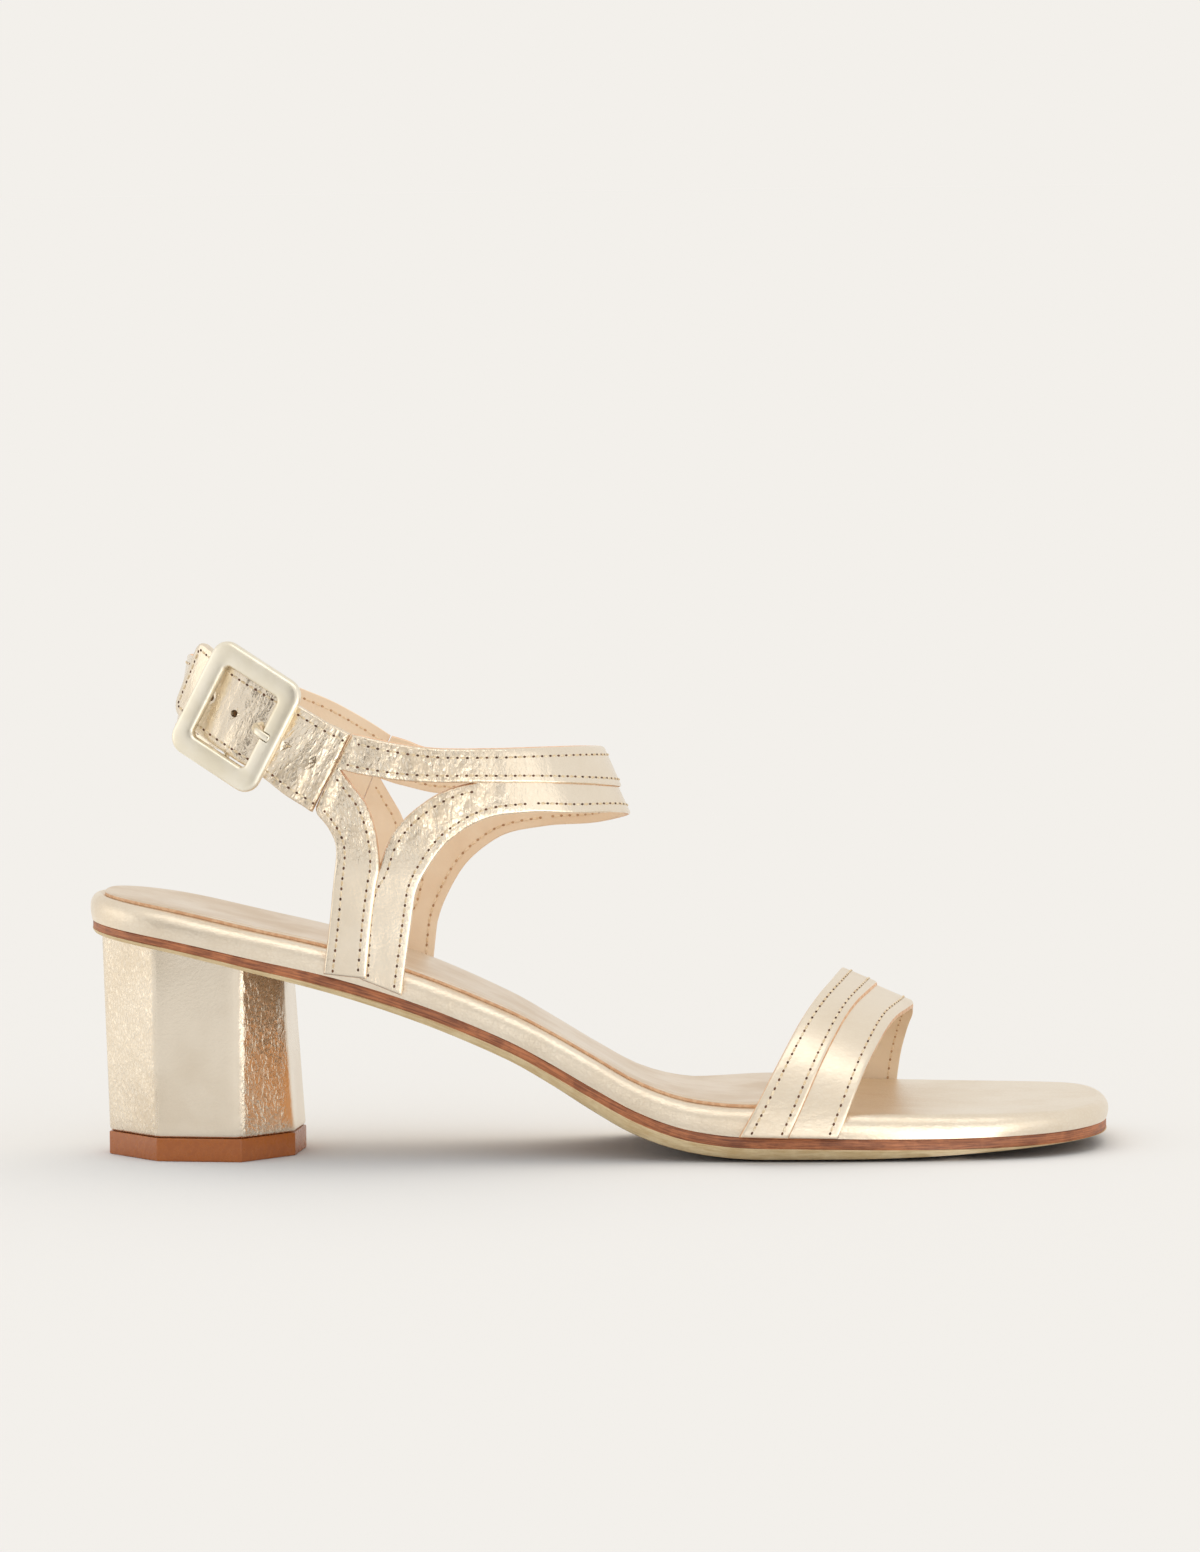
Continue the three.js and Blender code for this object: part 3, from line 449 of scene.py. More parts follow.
class Wire:
    """A shader socket or number that can be used in Python expressions."""

    def __init__(self, graph: "Graph", socket: bpy.types.NodeSocket) -> None:
        """Wrap a socket of a graph."""
        self.graph = graph
        self.socket = socket

    def __add__(self, other: "Wire | float") -> "Wire":
        """Sum."""
        return self.graph.math("ADD", self, other)

    def __radd__(self, other: float) -> "Wire":
        """Sum, with the number first."""
        return self.graph.math("ADD", other, self)

    def __sub__(self, other: "Wire | float") -> "Wire":
        """Difference."""
        return self.graph.math("SUBTRACT", self, other)

    def __rsub__(self, other: float) -> "Wire":
        """Difference from a number."""
        return self.graph.math("SUBTRACT", other, self)

    def __mul__(self, other: "Wire | float") -> "Wire":
        """Product."""
        return self.graph.math("MULTIPLY", self, other)

    def __rmul__(self, other: float) -> "Wire":
        """Product, with the number first."""
        return self.graph.math("MULTIPLY", other, self)

    def __truediv__(self, other: "Wire | float") -> "Wire":
        """Quotient."""
        return self.graph.math("DIVIDE", self, other)

    def __rtruediv__(self, other: float) -> "Wire":
        """Quotient of a number."""
        return self.graph.math("DIVIDE", other, self)

    def __pow__(self, other: "Wire | float") -> "Wire":
        """Power."""
        return self.graph.math("POWER", self, other)

    def ramp(self, low: float, high: float, start: float = 0.0, end: float = 1.0) -> "Wire":
        """Map low to high smoothly on to start to end."""
        return self.graph.node(
            "ShaderNodeMapRange",
            {"interpolation_type": "SMOOTHSTEP"},
            {"Value": self, "From Min": low, "From Max": high, "To Min": start, "To Max": end},
        )


class Graph:
    """A material's node tree, filled from expressions."""

    def __init__(self, name: str) -> None:
        """Start an empty material."""
        self.material = bpy.data.materials.new(name)
        self.material.use_nodes = True
        self.tree = self.material.node_tree
        self.tree.nodes.clear()
        self.place = self.node("ShaderNodeTexCoord", output="Object")

    def node(
        self,
        kind: str,
        settings: dict[str, object] | None = None,
        inputs: dict[str | int, object] | None = None,
        output: str | int = 0,
    ) -> Wire:
        """Add a node.

        Args:
            kind: The node's type.
            settings: Its properties, set first.
            inputs: Values or wires of its sockets.
            output: The output to return.

        Returns:
            The chosen output.
        """
        node = self.tree.nodes.new(kind)
        for key, value in (settings or {}).items():
            setattr(node, key, value)
        for key, value in (inputs or {}).items():
            if isinstance(value, Wire):
                self.tree.links.new(value.socket, node.inputs[key])
            else:
                node.inputs[key].default_value = value
        return Wire(self, node.outputs[output])

    def math(self, operation: str, *values: Wire | float) -> Wire:
        """Work out a value from others."""
        return self.node("ShaderNodeMath", {"operation": operation}, dict(enumerate(values)))

    def colour(self, share: Wire | float, a: object, b: object, blend: str = "MIX") -> Wire:
        """Mix two colours by a share."""
        settings = {"data_type": "RGBA", "blend_type": blend}
        return self.node("ShaderNodeMix", settings, {0: share, 6: a, 7: b}, output=2)

    def stretched(self, scale: tuple[float, float, float], place: Wire | None = None) -> Wire:
        """Scale coordinates, so that patterns run along one way."""
        inputs = {"Vector": place or self.place, "Scale": scale}
        return self.node("ShaderNodeMapping", None, inputs)

    def noise(self, scale: float, place: Wire | None = None, detail: float = 3.0, rough: float = 0.5) -> Wire:
        """Cloudy values round 0.5."""
        inputs = {"Vector": place or self.place, "Scale": scale, "Detail": detail, "Roughness": rough}
        return self.node("ShaderNodeTexNoise", None, inputs)

    def cells(self, scale: float, place: Wire | None = None, feature: str = "F1") -> Wire:
        """Distance to the nearest cell's middle, or to its edge."""
        inputs = {"Vector": place or self.place, "Scale": scale}
        return self.node("ShaderNodeTexVoronoi", {"feature": feature}, inputs)

    def warped(self, scale: float, amount: float, place: Wire | None = None) -> Wire:
        """Coordinates pushed about by a cloud."""
        start = place or self.place
        cloud = self.node("ShaderNodeTexNoise", None, {"Vector": start, "Scale": scale}, output="Color")
        push = self.node("ShaderNodeVectorMath", {"operation": "SUBTRACT"}, {0: cloud, 1: (0.5, 0.5, 0.5)})
        push = self.node("ShaderNodeVectorMath", {"operation": "SCALE"}, {0: push, "Scale": amount})
        return self.node("ShaderNodeVectorMath", {"operation": "ADD"}, {0: start, 1: push})

    def attribute(self, name: str) -> Wire:
        """A value stored on the mesh."""
        return self.node("ShaderNodeAttribute", {"attribute_name": name}, output="Fac")

    def bump(self, height: Wire, distance: float, strength: float = 1.0, normal: Wire | None = None) -> Wire:
        """Turn a height into a normal."""
        inputs: dict[str | int, object] = {"Height": height, "Distance": distance, "Strength": strength}
        if normal is not None:
            inputs["Normal"] = normal
        return self.node("ShaderNodeBump", None, inputs)

    def surface(self, **inputs: object) -> bpy.types.Material:
        """Finish the material with one principled shader."""
        names = {key.replace("_", " "): value for key, value in inputs.items()}
        shader = self.node("ShaderNodeBsdfPrincipled", None, names)
        self.node_output(shader)
        return self.material

    def node_output(self, shader: Wire) -> None:
        """Link a shader to the material's output."""
        out = self.tree.nodes.new("ShaderNodeOutputMaterial")
        self.tree.links.new(shader.socket, out.inputs["Surface"])


Colour = tuple[float, float, float, float]


def srgb(red: int, green: int, blue: int) -> Colour:
    """A colour from its values on screen."""
    linear = []
    for value in (red / 255, green / 255, blue / 255):
        linear.append(value / 12.92 if value <= 0.04045 else ((value + 0.055) / 1.055) ** 2.4)
    return (linear[0], linear[1], linear[2], 1.0)


@dataclass(frozen=True)
class GoldFoil:
    """Leather under a thin pale gold foil.

    Attributes:
        tone: Colour of the foil.
        deep: Colour of the painted shade in creases, and of the darker clouds.
        rough: Roughness of the smooth foil.
        grain: Height of the fine grain, in metres.
        folds: Height of the creases where the leather is creased, in metres.
        wave: Height of broad waves, in metres.
        flat: Whether the pattern lies in the flat cut of the leather, or else in space.
        stretch: How wide creases are drawn along each axis.
    """

    tone: Colour = srgb(240, 229, 212)
    deep: Colour = srgb(214, 194, 166)
    rough: float = 0.22
    grain: float = 0.000014
    folds: float = 0.0002
    wave: float = 0.0004
    flat: bool = True
    stretch: tuple[float, float, float] = (1.0, 0.45, 1.0)

    def material(self, name: str) -> bpy.types.Material:
        """Build the material."""
        g = Graph(name)
        if self.flat:
            place, unit = g.node("ShaderNodeUVMap", {"uv_map": "cut"}), 100.0
        else:
            place, unit = g.place, 1000.0
        creased = g.attribute("crease")
        warped = g.warped(0.7 * unit, 0.5 / unit, place)
        drawn = g.stretched(self.stretch, warped)
        cells = g.cells(1.1 * unit, drawn, "DISTANCE_TO_EDGE").ramp(0.0, 0.3)
        small = g.cells(2.5 * unit, warped, "DISTANCE_TO_EDGE").ramp(0.0, 0.36)
        wrinkles = 1.0 - g.math("ABSOLUTE", g.noise(0.36 * unit, drawn, 3.0, 0.5) * 2.0 - 1.0)
        swell = g.noise(0.16 * unit, drawn, 2.0)
        wave = g.noise(0.055 * unit, place, 1.0)
        pebbles = g.cells(1.5 * unit, g.warped(0.9 * unit, 0.4 / unit, place))
        fine = g.noise(3.4 * unit, place, 2.0)
        height = cells * 0.24 + small * 0.05 + wrinkles ** 3.0 * 1.1 + swell * 5.0
        normal = g.bump(wave, self.wave)
        normal = g.bump(pebbles + fine * 0.5, self.grain, 1.0, normal)
        normal = g.bump(height * creased, self.folds, 1.0, normal)
        cloud = g.noise(0.04 * unit, place, 4.0, 0.6)
        # Painted shade: the foil darkens towards the deep colour along the grain's cell edges where the leather is
        # creased.
        crease_shade = (1.0 - cells) * creased
        tint = g.colour(cloud.ramp(0.38, 0.7, 0.0, 0.25) + crease_shade * 0.45, self.tone, self.deep)
        rough = cloud.ramp(0.3, 0.7, self.rough - 0.03, self.rough + 0.05) + crease_shade * 0.08
        return g.surface(Base_Color=tint, Metallic=0.95, Roughness=rough, Normal=normal)


@dataclass(frozen=True)
class SoftLeather:
    """Plain soft leather of the lining and the sock.

    Attributes:
        tone: Main colour.
        shade: Colour of its darker clouds.
        rough: Roughness.
        metal: How metallic its finish is.
        grain: Height of the grain, in metres.
    """

    tone: Colour
    shade: Colour
    rough: float = 0.55
    metal: float = 0.0
    grain: float = 0.00004

    def material(self, name: str) -> bpy.types.Material:
        """Build the material."""
        g = Graph(name)
        cloud = g.noise(45, detail=5, rough=0.6)
        pores = g.cells(1700, g.warped(700, 0.0005))
        lines = g.noise(500, g.stretched((0.35, 1.0, 1.0)), detail=3)
        tint = g.colour(cloud.ramp(0.35, 0.7), self.tone, self.shade)
        rough = cloud.ramp(0.3, 0.7, self.rough - 0.06, self.rough + 0.08)
        normal = g.bump(pores * 0.6 + lines * 0.8, self.grain)
        return g.surface(Base_Color=tint, Metallic=self.metal, Roughness=rough, Normal=normal)


@dataclass(frozen=True)
class StreakedEdge:
    """Burnished edge with long streaks.

    Attributes:
        light: Colour of the light streaks.
        dark: Colour of the dark streaks.
        rough: Roughness.
        layers: How many streaks lie over each other.
    """

    light: Colour
    dark: Colour
    rough: float = 0.5
    layers: float = 7.0

    def material(self, name: str) -> bpy.types.Material:
        """Build the material."""
        g = Graph(name)
        flat = g.node("ShaderNodeUVMap", {"uv_map": "cut"})
        cut = g.node("ShaderNodeSeparateXYZ", None, {0: flat}, output="X")
        lines = g.node("ShaderNodeCombineXYZ", None, {"X": cut * 14.0, "Y": g.attribute("level") * self.layers})
        streaks = g.noise(1.0, lines, detail=5, rough=0.7)
        patches = g.noise(150, detail=4, rough=0.6)
        share = streaks.ramp(0.36, 0.64) * 0.7 + patches.ramp(0.4, 0.62) * 0.4
        tint = g.colour(share, self.dark, self.light)
        rough = patches.ramp(0.3, 0.7, self.rough - 0.08, self.rough + 0.1)
        normal = g.bump(streaks * 0.5 + g.noise(1500) * 0.5, 0.0001)
        return g.surface(Base_Color=tint, Roughness=rough, Normal=normal)


@dataclass(frozen=True)
class SatinMetal:
    """Pale gold plated metal, finely brushed.

    Attributes:
        tone: Colour of the plating.
        deep: Colour of its darker clouds.
        rough: Roughness.
        metal: How metallic its finish is.
    """

    tone: Colour = srgb(246, 240, 225)
    deep: Colour = srgb(236, 228, 208)
    rough: float = 0.33
    metal: float = 1.0

    def material(self, name: str) -> bpy.types.Material:
        """Build the material."""
        g = Graph(name)
        cloud = g.noise(120, detail=3)
        fine = g.noise(5200, detail=2)
        tint = g.colour(cloud.ramp(0.35, 0.7), self.tone, self.deep)
        rough = fine.ramp(0.3, 0.7, self.rough - 0.05, self.rough + 0.07)
        normal = g.bump(fine, 0.00001)
        return g.surface(Base_Color=tint, Metallic=self.metal, Roughness=rough, Normal=normal)


@dataclass(frozen=True)
class PlainFinish:
    """A plain finish with faint clouds: lift, thread, edge paint or the painted shade of a needle hole.

    Attributes:
        tone: Main colour.
        shade: Second colour.
        rough: Roughness.
        metal: How metallic it is.
    """

    tone: Colour
    shade: Colour
    rough: float = 0.6
    metal: float = 0.0

    def material(self, name: str) -> bpy.types.Material:
        """Build the material."""
        g = Graph(name)
        cloud = g.noise(700, detail=3)
        tint = g.colour(cloud.ramp(0.4, 0.6), self.tone, self.shade)
        normal = g.bump(g.noise(4200), 0.00003)
        rough = cloud.ramp(0.3, 0.7, self.rough - 0.05, self.rough + 0.05)
        return g.surface(Base_Color=tint, Metallic=self.metal, Roughness=rough, Normal=normal)


class Wardrobe:
    """Every material of the sandal, each made once."""

    def __init__(self) -> None:
        """Make the materials."""
        self.foil = GoldFoil().material("gold_foil_leather")
        self.vamp = GoldFoil(rough=0.36, grain=0.00001, folds=0.0001, wave=0.0002).material("gold_foil_satin")
        self.wrap = GoldFoil(
            flat=False, rough=0.36, grain=0.000034, folds=0.00016, wave=0.0002, stretch=(0.6, 1.0, 1.0)
        ).material("gold_foil_wrap")
        self.heel = GoldFoil(
            flat=False, rough=0.22, grain=0.000006, folds=0.00012, wave=0.00005, stretch=(1.0, 1.0, 0.6)
        ).material("gold_foil_heel")
        self.lining = SoftLeather(srgb(248, 228, 202), srgb(240, 214, 184)).material("peach_lining")
        self.sock = SoftLeather(
            srgb(224, 212, 196), srgb(210, 194, 174), rough=0.4, metal=0.6, grain=0.00003
        ).material("sock_leather")
        self.brown = StreakedEdge(srgb(200, 126, 82), srgb(120, 66, 42)).material("brown_edge")
        self.cream = StreakedEdge(srgb(232, 212, 172), srgb(206, 178, 130), 0.6, 3.0).material("cream_edge")
        self.tan = PlainFinish(srgb(176, 146, 112), srgb(160, 128, 94), 0.6).material("tan_outsole")
        self.lift = PlainFinish(srgb(176, 102, 50), srgb(170, 96, 46), 0.3).material("tan_lift")
        self.metal = SatinMetal().material("satin_gold_metal")
        self.paint = PlainFinish(srgb(236, 196, 158), srgb(222, 174, 134), 0.5).material("edge_paint")
        self.thread = PlainFinish(srgb(240, 226, 200), srgb(222, 200, 164), 0.42, 0.4).material("gold_thread")
        # Painted shade: dark brown for the shade inside the needle holes on the outside.
        self.dark = PlainFinish(srgb(112, 72, 46), srgb(80, 50, 32), 0.8).material("needle_hole")
        self.pale = PlainFinish(srgb(246, 224, 194), srgb(236, 208, 170), 0.6).material("lining_thread")
        # Painted shade: light brown for the shade inside the needle holes of the lining.
        self.shade = PlainFinish(srgb(206, 166, 126), srgb(180, 138, 100), 0.8).material("lining_needle_hole")


@dataclass
class Sole:
    """Outsole, brown midsole edge, wrapped footbed and sock, with the outline that all share."""

    ball_width: float = 80.0
    heel_height: float = 52.0
    toe_spring: float = 3.2
    waist_drop: float = 2.9
    outsole_thickness: float = 3.4
    outsole_bevel: float = 2.4
    crown_height: float = 0.8
    midsole_thickness: float = 2.2
    midsole_inset: float = 0.5
    footbed_thickness: float = 6.4
    footbed_rim: float = 3.2
    footbed_dish: float = 0.5
    footbed_crease: float = 0.25
    sock_inset: float = 3.5
    sock_thickness: float = 0.9
    sock_end: float = 172.0
    sock_corner: float = 40.0
    stations: int = 110
    outline: Table = Table((
        (0.0, 0.0, 0.0), (0.05, 0.125, 0.118), (0.1, 0.224, 0.199), (0.15, 0.296, 0.256),
        (0.2, 0.337, 0.286), (0.25, 0.361, 0.286), (0.3, 0.37, 0.269), (0.35, 0.374, 0.244),
        (0.4, 0.381, 0.228), (0.45, 0.4, 0.231), (0.5, 0.434, 0.276), (0.55, 0.47, 0.35),
        (0.6, 0.496, 0.416), (0.65, 0.508, 0.464), (0.7, 0.505, 0.484), (0.75, 0.488, 0.485),
        (0.8, 0.454, 0.472), (0.85, 0.394, 0.441), (0.9, 0.305, 0.375), (0.95, 0.185, 0.228),
        (1.0, 0.012, -0.012),
    ))
    profile: Table = Table((
        (0.0, 0, 1.023, 0, 0.26, 0.7, 1.0), (0.083, 0, 0.954, 0, 0.28, 0.75, 1.0),
        (0.165, 0, 0.862, 0, 0.32, 0.85, 0.98), (0.248, 0, 0.758, 0, 0.42, 1.0, 0.98),
        (0.331, 0, 0.625, 0, 0.54, 1.0, 0.98), (0.413, 0.36, 0.462, 0, 0.62, 1.0, 1.0),
        (0.455, 0.74, 0.352, 0, 0.72, 1.0, 1.04), (0.496, 1, 0.231, 0, 0.88, 1.0, 1.06),
        (0.537, 1, 0.121, 0, 0.98, 1.0, 1.0), (0.579, 0.7, 0.047, 0, 1.0, 1.0, 0.98),
        (0.62, 0.32, 0.012, 0, 1.0, 1.0, 1.0), (0.661, 0.1, 0, 0, 1.0, 1.0, 1.02),
        (0.76, 0, 0, 0, 0.88, 1.0, 0.92), (0.826, 0, 0, 0.14, 0.7, 1.0, 0.86),
        (0.888, 0, 0, 0.4, 0.48, 1.0, 0.8), (0.95, 0, 0, 0.72, 0.28, 1.0, 0.74),
        (1.0, 0, 0, 1.0, 0.2, 1.0, 0.7),
    ))
    wrap: Table = Table((
        (0, 0.1), (0.3, 0), (0.62, 0.03), (0.86, 0.28), (0.97, 0.62), (1, 1),
    ))

    def sweep_point(self, sweep: float, side: Side) -> Vector:
        """Point of the outline at a sweep from heel to toe."""
        x = LENGTH / 2 * (1 - math.cos(math.pi * sweep))
        y = self.ball_width * self.outline.value(1 if side is Side.OUTER else 2, sweep)
        return Vector((x, -y if side is Side.OUTER else y))

    def edge(self, x: float, side: Side) -> float:
        """Y of the outline beside a station of X."""
        sweep = math.acos(clamp(1 - 2 * x / LENGTH, -1.0, 1.0)) / math.pi
        return self.sweep_point(sweep, side).y

    def across(self, x: float, y: float) -> float:
        """Share of the way from the outer to the inner side."""
        near, away = self.edge(x, Side.OUTER), self.edge(x, Side.INNER)
        return clamp((y - near) / max(away - near, 1.0))

    def share(self, column: int, x: float) -> float:
        """A column of the profile at a station of X."""
        return self.profile.value(column, x / LENGTH)

    def outsole_bottom(self, x: float, across: float = 0.0) -> float:
        """Height of the outsole's underside."""
        drop = across * self.waist_drop * self.share(1, x)
        rise = self.heel_height * self.share(2, x) + self.toe_spring * self.share(3, x)
        return max(rise - drop, 0.0)

    def outsole_top(self, x: float, across: float = 0.0) -> float:
        """Height of the outsole's top."""
        return self.outsole_bottom(x, across) + self.outsole_thickness * self.share(4, x)

    def midsole_top(self, x: float, across: float = 0.0) -> float:
        """Height of the midsole's top."""
        return self.outsole_top(x, across) + CLEARANCE + self.midsole_thickness * self.share(5, x)

    def footbed_top(self, x: float, across: float = 0.0) -> float:
        """Height of the footbed's top at its rim."""
        return self.midsole_top(x, across) + CLEARANCE + self.footbed_thickness * self.share(6, x)

    def ring(self) -> list[Vector]:
        """The whole outline, from the heel along the outer side and back."""
        sweeps = [k / self.stations for k in range(self.stations)]
        near = [self.sweep_point(s, Side.OUTER) for s in sweeps]
        away = [self.sweep_point(1 - s, Side.INNER) for s in sweeps]
        return closed_line([near, away], apart=0.02)

    def drawn_in(self, inset: Callable[[float], float]) -> list[Vector]:
        """The outline moved inwards by an amount that may change along X."""
        ring = self.ring()
        return [point + arrow * inset(point.x) for point, arrow in zip(ring, inward(ring))]

    def dish(self, across: float) -> float:
        """Drop of the footbed's middle."""
        return -self.footbed_dish * math.sin(math.pi * across)

    def layer(self, low: Callable[[float, float], float], high: Callable[[float, float], float]) -> Bend:
        """A bend that stands flat points between two heights by their level."""
        def bend(x: float, y: float, level: float) -> Vector:
            """Place a flat point."""
            at = clamp(x, 0.0, LENGTH)
            across = self.across(at, y)
            return Vector((x, y, mix(low(at, across), high(at, across), level)))
        return bend

    def build_outsole(self, looks: Wardrobe) -> bpy.types.Object:
        """Build the outsole with its bevelled side."""
        def low(x: float, across: float) -> float:
            """Underside with its slight crown under the ball."""
            fore = smoothstep(x / LENGTH, 0.5, 0.6)
            crown = self.crown_height * fore * abs(2 * across - 1) ** 4
            return self.outsole_bottom(x, across) + crown

        outline = self.drawn_in(lambda x: self.midsole_inset)
        bevel = self.outsole_bevel
        rim = [(bevel, 0.0), (bevel * 0.72, 0.04), (bevel * 0.3, 0.5), (0.06, 0.9), (0.15, 1.0)]
        bend = self.layer(low, self.outsole_top)
        def tapered(x: float, y: float, level: float) -> Vector:
            """Lessen the bevel where the outsole is thin."""
            thin = 1 - self.share(4, clamp(x, 0.0, LENGTH))
            middle = Vector((clamp(x, 40.0, LENGTH - 40.0), 0.0))
            out = (Vector((x, y)) - middle).normalized() * bevel * thin * (1 - level) * 0.8
            far = abs(y) > 14.0 or x < 30.0 or x > LENGTH - 30.0
            return bend(x + out.x, y + out.y, level) if far else bend(x, y, level)
        slab = Slab(outline, rim, tapered, (3.0, 8.0), lining_level=0.02)
        return new_piece("outsole_layer", slab.mesh(), [looks.cream, looks.tan])

    def build_midsole(self, looks: Wardrobe) -> bpy.types.Object:
        """Build the brown edge layer."""
        bend = self.layer(
            lambda x, a: self.outsole_top(x, a) - 0.1, lambda x, a: self.midsole_top(x, a) + 0.15
        )
        rows = ((0.25, 0), (0, 0.12), (0, 0.85), (0.3, 1))
        rim = [(self.midsole_inset + inset, level) for inset, level in rows]
        return new_piece("midsole_edge", Slab(self.ring(), rim, bend, (3.0, 8.0)).mesh(), [looks.brown])

    def build_footbed(self, looks: Wardrobe) -> bpy.types.Object:
        """Build the wrapped footbed with its rounded rim."""
        rows = 14
        rim = []
        for k in range(rows + 1):
            level = 1 - (1 - k / rows) ** 1.6
            rim.append((self.footbed_rim * self.wrap.value(1, level), level))
        flat = self.layer(lambda x, a: self.midsole_top(x, a) + 0.1, self.footbed_top)
        def bend(x: float, y: float, level: float) -> Vector:
            """Dish the top."""
            place = flat(x, y, level)
            if level > 0.999:
                place.z += self.dish(self.across(clamp(x, 0.0, LENGTH), y))
            return place
        slab = Slab(self.ring(), rim, bend, (2.5, 6.0), lambda x, y: self.footbed_crease)
        return new_piece("footbed_wrap", slab.mesh(), [looks.wrap])

    def build_sock(self, looks: Wardrobe) -> bpy.types.Object:
        """Build the sock, rounded off under the front strap."""
        def front(y: float) -> float:
            """X of the rounded front end beside a place across."""
            t = -1 + math.sqrt(max(4 - abs(y) / 20, 0.0))
            return self.sock_end - self.sock_corner * (1 - t) ** 2

        line = self.drawn_in(lambda x: self.sock_inset)
        ring = [point for point in line if point.x < front(point.y) - 0.5]
        turn = max(range(len(ring)), key=lambda k: (ring[k] - ring[k - 1]).length)
        start, end = ring[turn - 1].y, ring[turn].y
        places = [mix(start, end, k / 40) for k in range(1, 40)]
        outline = ring[:turn] + [Vector((front(y), y)) for y in places] + ring[turn:]
        flat = self.layer(lambda x, a: self.footbed_top(x, a) + 0.05, self.footbed_top)
        def bend(x: float, y: float, level: float) -> Vector:
            """Lay the sock on the dished footbed."""
            place = flat(x, y, 0.0)
            place.z += level + self.dish(self.across(clamp(x, 0.0, LENGTH), y))
            return place
        rim = rounded_rim(CLEARANCE + self.sock_thickness, 0.1, 0.45, 3)
        slab = Slab(closed_line([outline]), rim, bend, (2.5, 6.0), lining_level=0.62)
        return new_piece("insole_leather", slab.mesh(), [looks.sock, looks.paint])


@dataclass
class Heel:
    """Octagonal covered heel and its lift."""

    sole: Sole
    length: float = 45.2
    width: float = 46.0
    back: float = 4.6
    shift: float = -4.0
    yaw: float = math.radians(-6.0)
    lift_height: float = 5.5
    edge_radius: float = 3.2
    plan: tuple[tuple[float, float, float], ...] = (
        (0, -0.026, 0.13), (0.314, 0.308, 0.457), (0.768, 0.778, 0.493), (1, 0.949, 0.174),
    )

    def outline(self, radius: float) -> list[Vector]:
        """The octagon at the floor, with rounded corners and points along its sides."""
        half = [Vector((low * self.length, -share * self.width)) for low, _, share in self.plan]
        corners = half + [Vector((p.x, -p.y)) for p in reversed(half)]
        points = []
        for k, corner in enumerate(corners):
            before = (corners[k - 1] - corner).normalized()
            after = (corners[(k + 1) % 8] - corner).normalized()
            angle = math.acos(clamp(before.dot(after), -1.0, 1.0))
            run = radius / math.tan(angle / 2)
            start, end = corner + before * run, corner + after * run
            for step in range(7):
                t = step / 6
                points.append(start * (1 - t) ** 2 + corner * 2 * t * (1 - t) + end * t**2)
            ahead = corners[(k + 1) % 8] - after * run
            points += resample([end, ahead], 2.2)[1:-1]
        return closed_line([points], apart=0.02)

    def place(self, x: float, y: float, level: float) -> Vector:
        """Turn and taper a point of the floor plan at a level from floor to sole."""
        lows = [row[0] * self.length for row in self.plan]
        highs = [row[1] * self.length for row in self.plan]
        at = mix(x, float(np.interp(x, lows, highs)), level)
        spot = Vector((at - self.length / 2, y))
        spot.rotate(Matrix.Rotation(self.yaw, 2))
        return Vector((self.back + self.length / 2 + spot.x, self.shift + spot.y))

    def build_block(self, looks: Wardrobe) -> bpy.types.Object:
        """Build the covered block up to the sole."""
        def bend(x: float, y: float, level: float) -> Vector:
            """Stand a point between the lift and the sole."""
            spot = self.place(x, y, level)
            top = self.sole.outsole_bottom(clamp(spot.x, 0.0, LENGTH)) + 0.15
            return Vector((spot.x, spot.y, mix(self.lift_height + 0.1, top, level)))
        def crease(x: float, y: float) -> float:
            """Wrinkles on the front and rear corner faces."""
            front = smoothstep(x / self.length, 0.74, 0.79) * (1 - smoothstep(x / self.length, 0.96, 1.0))
            rear = 1 - smoothstep(x / self.length, 0.29, 0.33)
            return 1.0 * front + 0.7 * rear
        rim = [(0.7, 0.0), (0.3, 0.006), (0.08, 0.014), (0.0, 0.026)]
        rim += [(0.0, level / 12) for level in range(1, 13)]
        slab = Slab(self.outline(self.edge_radius), rim, bend, (3.0, 3.0), crease)
        return new_piece("heel_cover", slab.mesh(), [looks.heel])

    def build_lift(self, looks: Wardrobe) -> bpy.types.Object:
        """Build the lift under the heel."""
        def bend(x: float, y: float, level: float) -> Vector:
            """Stand a point on the floor."""
            spot = self.place(x, y, 0.0)
            return Vector((spot.x, spot.y, level))
        rim = rounded_rim(self.lift_height, 0.35, 0.3, 3)
        slab = Slab(self.outline(0.6), rim, bend, (4.0, 4.0))
        return new_piece("heel_lift", slab.mesh(), [looks.lift])


